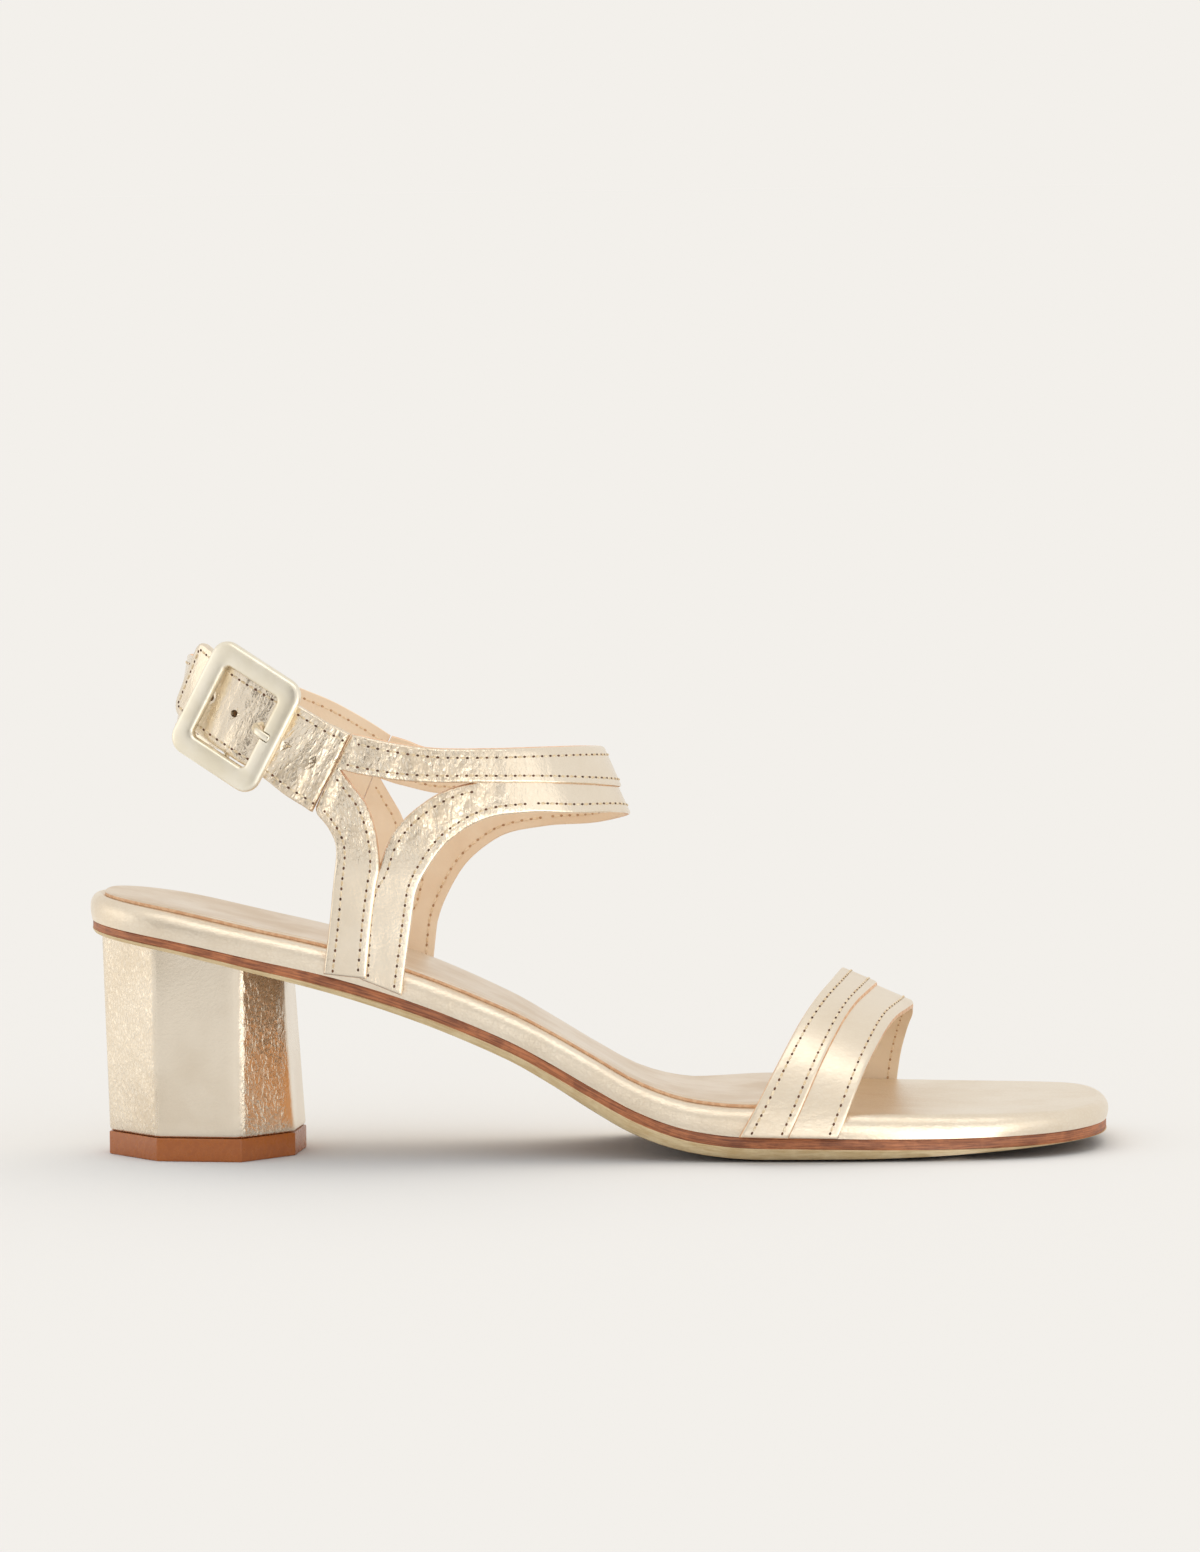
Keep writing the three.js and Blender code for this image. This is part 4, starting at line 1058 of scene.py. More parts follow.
@dataclass
class FrontStrap:
    """Two bands over the toes, lapped with a step."""

    sole: Sole
    rise: float = 33.6
    bow: float = 2.1
    ridge: float = 0.56
    wall: float = 1.7
    lap: float = 0.8
    lap_share: float = 0.5
    folds: float = 0.12
    edges: Table = Table((
        (0, 0.638, 0.7335), (18.5, 0.6686, 0.7574), (34, 0.693, 0.776), (51, 0.716, 0.791),
        (67, 0.73, 0.802), (90, 0.738, 0.809), (113, 0.7376, 0.8095), (130, 0.7293, 0.8095),
        (147, 0.7169, 0.8037), (161, 0.7066, 0.7975), (180, 0.6963, 0.7913),
    ))
    profile: Table = Table(((0.62, 1.3), (0.7372, 1), (0.82, 0.74)))

    def __post_init__(self) -> None:
        """Measure the girth over the toes."""
        self.turns = np.linspace(0.0, 180.0, 181)
        line = [self.point(0.76 * LENGTH, turn, 0.0) for turn in self.turns]
        steps = [(b - a).length for a, b in zip(line, line[1:])]
        self.girths = np.concatenate([[0.0], np.cumsum(steps)])

    def point(self, x: float, turn: float, offset: float) -> Vector:
        """A point of the arch, turned from 0 at the outer side to 180 at the inner."""
        outer = self.sole.edge(x, Side.OUTER) - CLEARANCE
        inner = self.sole.edge(x, Side.INNER) + CLEARANCE
        ridge = mix(outer, inner, self.ridge)
        half = ridge - outer if turn < 90 else inner - ridge
        rise = self.rise * self.profile.value(1, x / LENGTH)
        angle = math.radians(turn)
        across, up = abs(math.cos(angle)), max(math.sin(angle), 0.0)
        reach = ((across / half) ** self.bow + (up / rise) ** self.bow) ** (-1 / self.bow)
        side = math.copysign(1.0, math.cos(angle))
        normal = Vector((
            -side * (across * reach / half) ** (self.bow - 1) / half,
            (up * reach / rise) ** (self.bow - 1) / rise,
        )).normalized()
        base = self.sole.midsole_top(x) + CLEARANCE
        y = ridge - math.cos(angle) * reach + normal.x * offset
        return Vector((x, y, base + up * reach + normal.y * offset))

    def bend(self, girth: float, x: float, level: float) -> Vector:
        """Place a flat point: girth over the toes, station of X, level."""
        return self.point(x, float(np.interp(girth, self.girths, self.turns)), level)

    def line(self, share: float, shift: float = 0.0) -> list[Vector]:
        """A flat line at a share of the strap's width, shifted along X."""
        points = []
        for turn in np.linspace(0.0, 180.0, 110):
            rear, front = (LENGTH * self.edges.value(column, turn) for column in (1, 2))
            girth = float(np.interp(turn, self.turns, self.girths))
            points.append(Vector((girth, mix(rear, front, share) + shift)))
        return points

    def build(self, looks: Wardrobe) -> list[bpy.types.Object]:
        """Build both bands and their stitches."""
        rear = closed_line([self.line(0.0), self.line(self.lap_share)[::-1]])
        front = closed_line([self.line(self.lap_share, -1.2), self.line(1.0)[::-1]])
        thick = self.wall + self.lap
        def crease(girth: float, x: float) -> float:
            """Soft creases near both ends."""
            end = self.girths[-1]
            return 0.12 + 0.16 * (1 - smoothstep(min(girth, end - girth), 6.0, 30.0))
        bend = folded(self.bend, crease, self.folds)
        pieces = []
        for name, outline, rim, lining in (
            ("vamp_rear_band", rear, rounded_rim(thick, 0.3, 0.7), 2.2),
            ("vamp_front_band", front, [(i, v + 0.06) for i, v in rounded_rim(self.wall - 0.06, 0.3, 0.6)], 1.0),
        ):
            slab = Slab(outline, rim, bend, (1.2, 1.6), crease, 0.25, lining)
            pieces.append(new_piece(name, slab.mesh(), [looks.vamp, looks.lining, looks.paint]))
        outside, inside = Stitching(), Stitching()
        for share, shift, level in ((0.0, 2.4, thick), (self.lap_share, -2.0, thick), (1.0, -2.3, self.wall)):
            outside.row(self.line(share, shift)[1:-1], bend, level)
        for share, shift, level in ((0.0, 2.4, 0.0), (1.0, -2.3, 0.06)):
            inside.row(self.line(share, shift)[1:-1], bend, level)
        pieces += outside.pieces("vamp", looks.thread, looks.dark)
        return pieces + inside.pieces("vamp_lining", looks.pale, looks.shade)


@dataclass
class Ankle:
    """Legs and instep bands, cut by a side pattern from the surface round the ankle."""

    sole: Sole
    leg_at: float = 66.0
    instep_rise: float = 50.0
    flare: float = 6.5
    bow: float = 2.2
    bow_change: float = 0.2
    wall: float = 1.8
    lap: float = 0.8
    tilt: float = 0.09
    spread: float = 0.0035
    folds: float = 0.4
    seam_ridge: float = 0.5
    leg_run: tuple[float, ...] = (-9, -5, 0, 9, 14)
    sections: Table = Table((
        (-0.4, 0.06, 0.64, 0, 0), (0.04, 0.074, 0.587, 0.05, 0.12),
        (0.44, 0.083, 0.545, 0.25, 0.5), (0.74, 0.089, 0.5165, 0.42, 0.82),
        (0.98, 0.0934, 0.495, 0.48, 1), (1.24, 0.101, 0.473, 0.4, 1),
        (1.6, 0.117, 0.446, 0.2, 0.9),
    ))
    lead: Table = Table((
        (0.2, 0.09), (0.28, 0.09), (0.33, 0.042), (0.39, 0.036), (0.47, 0.07), (0.6, 0.077),
    ))
    top_edge: Table = Table((
        (0.269, 1.066), (0.286, 1.047), (0.306, 1.024), (0.346, 0.996), (0.397, 0.992),
        (0.45, 1.0), (0.49, 1.008), (0.6, 1.012),
    ))
    lap_edge: Table = Table((
        (0.257, 0.898), (0.276, 0.874), (0.325, 0.838), (0.386, 0.832), (0.449, 0.834),
        (0.508, 0.832), (0.6, 0.836),
    ))
    low_edge: Table = Table((
        (0.405, 0.676), (0.439, 0.696), (0.4825, 0.698), (0.52, 0.714), (0.6, 0.728),
    ))
    rear_leg_front: tuple[tuple[float, float], ...] = (
        (0.257, 0.898), (0.268, 0.824), (0.2815, 0.73), (0.29, 0.598), (0.2925, 0.446),
        (0.2885, 0.336), (0.283, 0.16), (0.2765, -0.122), (0.274, -0.3),
    )
    rear_leg_back: tuple[tuple[float, float], ...] = (
        (0.229, -0.3), (0.2355, -0.052), (0.242, 0.162), (0.2475, 0.38), (0.251, 0.53),
        (0.2445, 0.62), (0.2335, 0.694), (0.2325, 0.726),
    )
    front_leg_back: tuple[tuple[float, float], ...] = (
        (0.268, -0.3), (0.2745, 0.16), (0.2805, 0.336), (0.2915, 0.43), (0.301, 0.554),
        (0.3155, 0.652), (0.336, 0.736), (0.359, 0.8), (0.3855, 0.834),
    )
    front_leg_front: tuple[tuple[float, float], ...] = (
        (0.439, 0.696), (0.405, 0.676), (0.3825, 0.634), (0.358, 0.55), (0.3405, 0.442),
        (0.3285, 0.334), (0.3235, 0.218), (0.3115, -0.162), (0.309, -0.3),
    )

    def __post_init__(self) -> None:
        """Set the surface beside the sole and measure the girth round the ankle."""
        runs = [self.leg_at + step for step in self.leg_run]
        self.outer = max(-self.sole.edge(x, Side.OUTER) for x in runs) + 2 * CLEARANCE
        self.inner = max(self.sole.edge(x, Side.INNER) for x in runs) + 2 * CLEARANCE
        self.base = self.sole.footbed_top(self.leg_at)
        self.turns = np.linspace(-190.0, 190.0, 381)
        line = [self.point(turn, 0.8, 1.0) for turn in self.turns]
        steps = [(b - a).length for a, b in zip(line, line[1:])]
        self.girths = np.concatenate([[0.0], np.cumsum(steps)])
        self.girths -= np.interp(0.0, self.turns, self.girths)

    def point(self, turn: float, rise: float, offset: float) -> Vector:
        """A point of the ankle, turned in degrees from the front by way of the outer side."""
        back, front, lateral, medial = (self.sections.value(k, rise) for k in (1, 2, 3, 4))
        outer = self.outer + self.flare * lateral
        inner = self.inner + self.flare * medial
        half_length, half_width = LENGTH * (front - back) / 2, (outer + inner) / 2
        angle = math.radians(turn)
        bow = self.bow - self.bow_change * math.cos(angle)
        along, across = math.cos(angle), -math.sin(angle)
        size = abs(along / half_length) ** bow + abs(across / half_width) ** bow
        reach = size ** (-1 / bow)
        normal = Vector((
            math.copysign(abs(along * reach / half_length) ** (bow - 1) / half_length, along),
            math.copysign(abs(across * reach / half_width) ** (bow - 1) / half_width, across),
        )).normalized()
        return Vector((
            LENGTH * (front + back) / 2 + along * reach + normal.x * offset,
            (inner - outer) / 2 + across * reach + normal.y * offset,
            self.base + self.instep_rise * rise,
        ))

    def bend(self, girth: float, height: float, level: float) -> Vector:
        """Place a flat point: girth from the front, height, level."""
        turn = float(np.interp(girth, self.girths, self.turns))
        return self.point(turn, height / self.instep_rise, level)

    def pattern(self, turn: float, rise: float) -> Vector:
        """Where the side pattern has a point of the ankle: along and rise, as shares."""
        place = self.point(turn, rise, 1.0)
        across = place.y + self.outer - 2 * CLEARANCE + self.flare / 2
        x = place.x
        for _ in range(4):
            x = place.x - across * self.lead.value(1, x / LENGTH)
        instep = self.base + self.instep_rise
        z = (place.z + across * (self.tilt + instep * self.spread)) / (1 + across * self.spread)
        return Vector((x / LENGTH, (z - self.base) / self.instep_rise))

    def find(self, along: float, rise: float, side: Side, guess: Vector | None = None) -> Vector:
        """Find a point of the side pattern on the ankle.

        Args:
            along: Share of the length on the pattern.
            rise: Share of the instep's rise on the pattern.
            side: The side to look on.
            guess: Turn and rise to start from.

        Returns:
            Turn and rise on the ankle.
        """
        here = guess.copy() if guess else Vector((side.value * 100.0, rise))
        goal = Vector((along, rise))
        for _ in range(14):
            now = self.pattern(here.x, here.y)
            by_turn = (self.pattern(here.x + 0.5, here.y) - now) / 0.5
            by_rise = (self.pattern(here.x, here.y + 0.01) - now) / 0.01
            jacobian = np.array([[by_turn.x, by_rise.x], [by_turn.y, by_rise.y]])
            step = np.linalg.solve(jacobian, np.array(goal - now))
            here += Vector((clamp(float(step[0]), -15, 15), clamp(float(step[1]), -0.3, 0.3)))
            if (goal - now).length < 1e-6:
                break
        return here

    def flat(self, turn: float, rise: float) -> Vector:
        """Girth and height of a point of the ankle."""
        return Vector((float(np.interp(turn, self.turns, self.girths)), rise * self.instep_rise))

    def band_line(self, edge: Table, start: float, end: float) -> list[Vector]:
        """An edge of a band as a flat line, from one turn to another."""
        points = []
        rise = edge.rows[-1][1]
        count = max(8, int(abs(end - start) / 1.2))
        for k in range(count + 1):
            turn = mix(start, end, k / count)
            for _ in range(12):
                spot = self.pattern(turn, rise)
                rise += edge.value(1, spot.x) - spot.y
            points.append(self.flat(turn, rise))
        return points

    def leg_line(self, edge: Sequence[tuple[float, float]], side: Side) -> list[Vector]:
        """An edge of a leg as a flat line, cut off at the sole."""
        points: list[Vector] = []
        guess = None
        for spot in spline([Vector(row) for row in edge], 6):
            guess = self.find(spot.x, spot.y, side, guess)
            place = self.point(guess.x, guess.y, 1.0)
            if place.z > self.sole.midsole_top(place.x) + CLEARANCE:
                points.append(self.flat(guess.x, guess.y))
        return points

    def seam_ends(self, side: Side) -> tuple[Vector, Vector]:
        """Turn and rise of the seam's lower and upper end."""
        low, high = self.rear_leg_back[-1], self.top_edge.rows[0]
        return self.find(*low, side), self.find(*high, side)

    def outlines(self) -> tuple[list[Vector], list[Vector]]:
        """Flat outlines of the rear piece on top and of the front piece under it."""
        rear, front = [], []
        seams = {side: self.seam_ends(side) for side in Side}
        laps = {side: self.find(*self.lap_edge.rows[0], side) for side in Side}
        joins = {side: self.find(*self.front_leg_back[-1], side) for side in Side}
        lows = {side: self.find(*self.front_leg_front[0], side) for side in Side}
        out, inn = Side.OUTER, Side.INNER
        self.rows = {
            "top": self.band_line(self.top_edge, seams[out][1].x, seams[inn][1].x),
            "lap": self.band_line(self.lap_edge, laps[out].x, laps[inn].x),
            "low": self.band_line(self.low_edge, lows[out].x, lows[inn].x),
        }
        for side in Side:
            self.rows[f"rear_back_{side.name}"] = self.leg_line(self.rear_leg_back, side)
            self.rows[f"rear_front_{side.name}"] = self.leg_line(self.rear_leg_front, side)
            self.rows[f"front_back_{side.name}"] = self.leg_line(self.front_leg_back, side)
            self.rows[f"front_front_{side.name}"] = self.leg_line(self.front_leg_front, side)
        rows = self.rows
        rear = [
            [self.flat(*seams[out][0]), self.flat(*seams[out][1])],
            rows["top"],
            [self.flat(*seams[inn][1]), self.flat(*seams[inn][0])],
            rows["rear_back_INNER"][::-1],
            [rows["rear_back_INNER"][0], rows["rear_front_INNER"][-1]],
            rows["rear_front_INNER"][::-1],
            rows["lap"][::-1],
            rows["rear_front_OUTER"],
            [rows["rear_front_OUTER"][-1], rows["rear_back_OUTER"][0]],
            rows["rear_back_OUTER"],
        ]
        tucked = self.band_line(self.lap_edge, joins[out].x, joins[inn].x)
        tucked = [point + Vector((0.0, 1.0)) for point in tucked]
        front = [
            rows["front_back_OUTER"],
            tucked,
            rows["front_back_INNER"][::-1],
            [rows["front_back_INNER"][0], rows["front_front_INNER"][-1]],
            rows["front_front_INNER"][::-1],
            rows["low"][::-1],
            rows["front_front_OUTER"],
            [rows["front_front_OUTER"][-1], rows["front_back_OUTER"][0]],
        ]
        return self.joined(rear), self.joined(front)

    def joined(self, stretches: Sequence[Sequence[Vector]]) -> list[Vector]:
        """Join stretches after spacing the points of each evenly."""
        return closed_line([resample(stretch, 0.9) for stretch in stretches], apart=0.25)

    def crease(self, girth: float, height: float) -> float:
        """Creases: strong at the seam and the legs' bends, fading towards the front."""
        turn = abs(float(np.interp(girth, self.girths, self.turns)))
        rise = height / self.instep_rise
        band = smoothstep(turn, 25.0, 70.0) * smoothstep(rise, 0.4, 0.62)
        return 0.12 + 0.88 * band

    def shifted(self, line: Sequence[Vector], amount: float) -> list[Vector]:
        """A flat line moved to its left."""
        moved = []
        for i, point in enumerate(line):
            ahead, behind = line[min(i + 1, len(line) - 1)], line[max(i - 1, 0)]
            along = (ahead - behind).normalized()
            moved.append(point + Vector((-along.y, along.x)) * amount)
        return moved

    def build(self, looks: Wardrobe) -> list[bpy.types.Object]:
        """Build the rear and front pieces and their stitches."""
        rear, front = self.outlines()
        thick = self.wall + self.lap
        plain = folded(self.bend, self.crease, self.folds)
        ends = [[self.flat(*end) for end in self.seam_ends(side)] for side in Side]
        def bend(girth: float, height: float, level: float) -> Vector:
            """Raise the leather that is turned under along both seams."""
            gaps = []
            for low, high in ends:
                run = (high - low).normalized()
                gap = Vector((girth, height)) - low
                gaps.append(abs(run.x * gap.y - run.y * gap.x))
            lift = self.seam_ridge * math.exp(-(((min(gaps) - 1.1) / 0.8) ** 2))
            return plain(girth, height, level + lift)
        pieces = []
        for name, outline, rim, lining in (
            ("ankle_rear_piece", rear, rounded_rim(thick, 0.3, 0.7), 2.2),
            ("ankle_front_piece", front, [(i, v + 0.06) for i, v in rounded_rim(self.wall - 0.06, 0.3, 0.6)], 1.05),
        ):
            slab = Slab(outline, rim, bend, (1.1, 1.4), self.crease, 0.25, lining)
            pieces.append(new_piece(name, slab.mesh(), [looks.foil, looks.lining, looks.paint]))
        return pieces + self.sew(looks, bend)

    def sew(self, looks: Wardrobe, bend: Bend) -> list[bpy.types.Object]:
        """Sew the rows along every edge, outside and inside."""
        outside, inside = Stitching(), Stitching()
        thick = self.wall + self.lap
        rows = self.rows
        plan = [("top", 2.1, thick), ("lap", -1.7, thick), ("low", -2.1, self.wall)]
        for side in Side:
            sign = side.value
            plan += [
                (f"rear_back_{side.name}", sign * 2.1, thick),
                (f"rear_front_{side.name}", sign * 2.1, thick),
                (f"front_back_{side.name}", sign * 2.0, self.wall),
                (f"front_front_{side.name}", sign * 2.1, self.wall),
            ]
        for key, shift, level in plan:
            line = self.shifted(resample(rows[key], 0.8), shift)
            outside.row(line[2:-2], bend, level)
            inside.row(line[2:-2], bend, 0.0)
        pieces = outside.pieces("ankle", looks.thread, looks.dark)
        return pieces + inside.pieces("ankle_lining", looks.pale, looks.shade)


@dataclass
class StrapLine:
    """Middle line of a strap round the ankle, with a frame at each place."""

    ankle: Ankle
    path: Table

    def __post_init__(self) -> None:
        """Draw the line finely."""
        first, last = self.path.rows[0][0], self.path.rows[-1][0]
        self.turns = np.linspace(first, last, 241)
        self.points = [self.ankle.point(t, self.path.value(1, t), 0.0) for t in self.turns]
        steps = [(b - a).length for a, b in zip(self.points, self.points[1:])]
        self.marks = np.concatenate([[0.0], np.cumsum(steps)])
        self.length = float(self.marks[-1])

    def at(self, mark: float) -> tuple[Vector, Vector, Vector, Vector]:
        """Origin, along, out and across at a distance along the line."""
        turn = float(np.interp(mark, self.marks, self.turns))
        rise = self.path.value(1, turn)
        point = self.ankle.point
        origin = point(turn, rise, 0.0)
        round_ = point(turn + 1, rise, 0.0) - point(turn - 1, rise, 0.0)
        up = point(turn, rise + 0.01, 0.0) - point(turn, rise - 0.01, 0.0)
        out = up.cross(round_).normalized()
        step = 0.6
        first, last = self.turns[0], self.turns[-1]
        low, high = max(turn - step, first), min(turn + step, last)
        along = point(high, self.path.value(1, high), 0.0) - point(low, self.path.value(1, low), 0.0)
        along = (along - out * along.dot(out)).normalized()
        across = along.cross(out).normalized()
        if across.z < 0:
            across = -across
        if mark > self.length:
            origin = origin + along * (mark - self.length)
        if mark < 0:
            origin = origin + along * mark
        return origin, along, out, across


@dataclass
class Straps:
    """The outer strap through the buckle, and the strap round the back of the ankle."""

    ankle: Ankle
    width: float = 19.0
    thickness: float = 1.4
    back_thickness: float = 1.6
    flare: float = 0.09
    narrowing: float = 0.22
    seam_gap: float = 0.3
    hole_pitch: float = 6.9
    hole_diameter: float = 2.2
    pin_reach: float = 5.5
    folds: float = 0.42
    seam_ridge: float = 0.5
    outer_path: Table = Table((
        (107, 0.85), (119.5, 0.952), (127.4, 1.036), (136.3, 1.118), (142.2, 1.17), (152.6, 1.264),
        (160.8, 1.328),
    ))
    back_path: Table = Table((
        (139.4, 1.147), (160, 1.215), (180, 1.222), (205, 1.174), (234, 0.986), (246, 0.884),
        (260, 0.76),
    ))
    lift: Table = Table((
        (-30, 2.4), (-13, 3.0), (-7.5, 3.1), (0, 3.2), (7.5, 3.1), (13, 2.4), (24, 0.8), (36, 0.3),
    ))

    def __post_init__(self) -> None:
        """Lay both lines and find the bar on the outer one."""
        self.outer = StrapLine(self.ankle, self.outer_path)
        self.back = StrapLine(self.ankle, self.back_path)
        self.back_fit = (1.0, 0.0)
        self.back_fit = self.fit_back()
        bar = self.ankle.point(*self.back_path.rows[0][:2], 0.0)
        marks = np.linspace(0.0, self.outer.length, 401)
        self.bar_mark = float(min(marks, key=lambda mark: (self.outer.at(mark)[0] - bar).length))
        origin, along, out, _ = self.outer.at(self.bar_mark)
        up = out.cross(-along)
        self.buckle = Matrix((
            (-along.x, up.x, out.x, origin.x),
            (-along.y, up.y, out.y, origin.y),
            (-along.z, up.z, out.z, origin.z),
            (0.0, 0.0, 0.0, 1.0),
        ))

    def bend_outer(self, mark: float, side: float, level: float) -> Vector:
        """Place a flat point of the outer strap."""
        origin, _, out, across = self.outer.at(mark)
        share = mark / self.outer.length
        taper = 1 + self.flare * (1 - smoothstep(share, 0.0, 0.45))
        rise = self.lift.value(1, self.bar_mark - mark)
        return origin + across * side * taper + out * (rise + level)

    def fit_back(self) -> tuple[float, float]:
        """Stretch and shift across that bring the back strap's end to the whole seam."""
        length = self.back.length
        seam = self.seam(self.bend_back, length, length - 20.0, Side.INNER)
        origin, _, _, across = self.back.at(seam[len(seam) // 2].x)
        ends = self.ankle.seam_ends(Side.INNER)
        low, high = ((self.ankle.point(*end, 1.0) - origin).dot(across) for end in ends)
        return (high - low) / self.width, (high + low) / 2

    def bend_back(self, mark: float, side: float, level: float) -> Vector:
        """Place a flat point of the back strap."""
        origin, _, out, across = self.back.at(mark)
        stretch, shift = self.back_fit
        share = smoothstep(mark, self.back.length - 34.0, self.back.length - 8.0)
        return origin + across * mix(side, side * stretch + shift, share) + out * level

    def seam(self, bend: Bend, low: float, high: float, side: Side) -> list[Vector]:
        """Flat line where a strap's end meets the side piece's seam.

        Args:
            bend: The strap's bend.
            low: A distance along the strap on one side of the seam.
            high: A distance on its other side.
            side: The side of the foot.

        Returns:
            Flat points from the strap's lower to its upper edge.
        """
        ends = [self.ankle.point(*end, 1.0) for end in self.ankle.seam_ends(side)]
        run = ends[1] - ends[0]
        plane = run.cross(Vector((0.0, 1.0, 0.0)))
        half = self.width / 2
        points = []
        for k in range(13):
            across = mix(-half, half, k / 12)
            near, away = low, high
            sign = (bend(near, across, 0.0) - ends[0]).dot(plane) > 0
            for _ in range(24):
                middle = (near + away) / 2
                if ((bend(middle, across, 0.0) - ends[0]).dot(plane) > 0) == sign:
                    near = middle
                else:
                    away = middle
            points.append(Vector((near, across)))
        return points

    def rounded_end(self, mark: float, corner: float) -> list[Vector]:
        """Flat points of an end with two rounded corners, from lower to upper edge."""
        half = self.width / 2
        points = []
        for centre, start in ((-half + corner, -90.0), (half - corner, 0.0)):
            for k in range(9):
                angle = math.radians(start + 90.0 * k / 8)
                points.append(Vector((
                    mark - corner + corner * math.cos(angle),
                    centre + corner * math.sin(angle),
                )))
        return points

    def crease(self, mark: float, side: float) -> float:
        """Creases where the strap bends away from the buckle."""
        reach = self.bar_mark - mark
        return 0.25 + 0.75 * smoothstep(reach, 9.0, 18.0) + 0.35 * (1 - smoothstep(abs(reach - 3.0), 1.5, 4.5))

    def build_outer(self, looks: Wardrobe) -> list[bpy.types.Object]:
        """Build the outer strap with its punched holes."""
        end = self.outer.length
        half = self.width / 2
        seam = self.seam(self.bend_outer, -4.0, 14.0, Side.OUTER)
        seam = [Vector((p.x + self.seam_gap, p.y)) for p in seam]
        tip = self.rounded_end(end, 3.2)
        outline = closed_line([
            resample(seam[::-1], 0.9),
            resample([seam[0], tip[0]], 0.9),
            tip,
            resample([tip[-1], seam[-1]], 0.9),
        ], apart=0.2)
        rim = rounded_rim(self.thickness, 0.3, 0.6)
        plain = folded(self.bend_outer, self.crease, self.folds)
        low, high = seam[0], seam[-1]
        def bend(mark: float, side: float, level: float) -> Vector:
            """Raise the leather that is turned under along the seam."""
            edge = mix(low.x, high.x, (side - low.y) / (high.y - low.y))
            lift = self.seam_ridge * math.exp(-(((mark - edge - 1.1) / 0.8) ** 2))
            return plain(mark, side, level + lift)
        slab = Slab(outline, rim, bend, (0.8, 1.3), self.crease, 0.25)
        strap = new_piece("buckle_strap_leather", slab.mesh(), [looks.foil, looks.lining])
        self.punch(strap, looks)
        sewing = Stitching()
        inset = 1.9
        for side in (-1, 1):
            start = seam[0] if side < 0 else seam[-1]
            row = side * (half - inset)
            line = [Vector((start.x + 0.8, row)), Vector((end - 2.6, row))]
            sewing.row(resample(line, 1.0), bend, self.thickness)
        across = [Vector((end - inset, -half + 2.6)), Vector((end - inset, half - 2.6))]
        sewing.row(resample(across, 1.0), bend, self.thickness)
        return [strap] + sewing.pieces("buckle_strap", looks.thread, looks.dark)

    def punch(self, strap: bpy.types.Object, looks: Wardrobe) -> None:
        """Cut three holes through the outer strap and two shallow dents in it."""
        bm = bmesh.new()
        radius = self.hole_diameter / 2
        for hole in range(-2, 3):
            mark = self.bar_mark - (self.pin_reach + hole * self.hole_pitch)
            spot = self.bend_outer(mark, 0.0, self.thickness)
            out = (self.bend_outer(mark, 0.0, self.thickness + 1.0) - spot).normalized()
            place = Matrix.Translation(spot) @ Vector((0, 0, 1)).rotation_difference(out).to_matrix().to_4x4()
            if hole > 0:
                squeezed = place @ Matrix.Diagonal((1.0, 1.0, 0.4, 1.0))
                bmesh.ops.create_uvsphere(
                    bm, u_segments=16, v_segments=10, radius=radius * 0.75, matrix=squeezed
                )
            else:
                bmesh.ops.create_cone(
                    bm, cap_ends=True, segments=20, radius1=radius * 0.8, radius2=radius * 0.8, depth=6.0,
                    matrix=place,
                )
        cutter = new_piece("punch", bm, [looks.dark])
        cut(strap, cutter)

    def build_back(self, looks: Wardrobe) -> list[bpy.types.Object]:
        """Build the back strap and its loop round the bar."""
        half = self.width / 2
        length = self.back.length
        seam = self.seam(self.bend_back, length, length - 20.0, Side.INNER)
        seam = [Vector((p.x - self.seam_gap, p.y)) for p in seam]
        start = [Vector((0.0, half)), Vector((0.0, -half))]
        outline = closed_line([
            resample(start, 0.9),
            resample([start[1], seam[0]], 0.9),
            resample(seam, 0.9),
            resample([seam[-1], start[0]], 0.9),
        ], apart=0.2)
        rim = rounded_rim(self.back_thickness, 0.3, 0.6)
        crease = lambda mark, side: 0.25 + 0.5 * smoothstep(mark, 40.0, 70.0)
        slab = Slab(outline, rim, self.bend_back, (1.8, 2.4), crease, 0.25, 0.95)
        strap = new_piece("back_strap_leather", slab.mesh(), [looks.foil, looks.lining, looks.paint])
        outside, inside = Stitching(), Stitching()
        for side in (-1, 1):
            end = seam[0] if side < 0 else seam[-1]
            line = [Vector((3.0, side * (half - 2.0))), Vector((end.x - 1.0, side * (half - 2.0)))]
            outside.row(resample(line, 1.0), self.bend_back, self.back_thickness)
            inside.row(resample(line, 1.0), self.bend_back, 0.0)
        pieces = [strap, self.build_loop(looks)] + outside.pieces("back_strap", looks.thread, looks.dark)
        return pieces + inside.pieces("back_strap_lining", looks.pale, looks.shade)

    def build_loop(self, looks: Wardrobe) -> bpy.types.Object:
        """Build the two halves of the loop, either side of the pin."""
        bm = bmesh.new()
        crease = bm.verts.layers.float.new("crease")
        half, gap, radius = self.width / 2, 1.25, 1.8
        for side in (-1, 1):
            depth = half - gap
            middle = Matrix.Translation((0.0, side * (gap + depth / 2), 1.1))
            place = middle @ Matrix.Rotation(math.pi / 2, 4, "X")
            bmesh.ops.create_cone(
                bm, cap_ends=True, segments=28, radius1=radius, radius2=radius, depth=depth,
                matrix=self.buckle @ place,
            )
        rims = [edge for edge in bm.edges if any(len(face.verts) > 4 for face in edge.link_faces)]
        bmesh.ops.bevel(
            bm, geom=rims, offset=0.4, affect="EDGES", segments=3, profile=0.5, material=-1, clamp_overlap=True
        )
        for vert in bm.verts:
            vert[crease] = 0.6
        return new_piece("back_strap_loop", bm, [looks.foil])


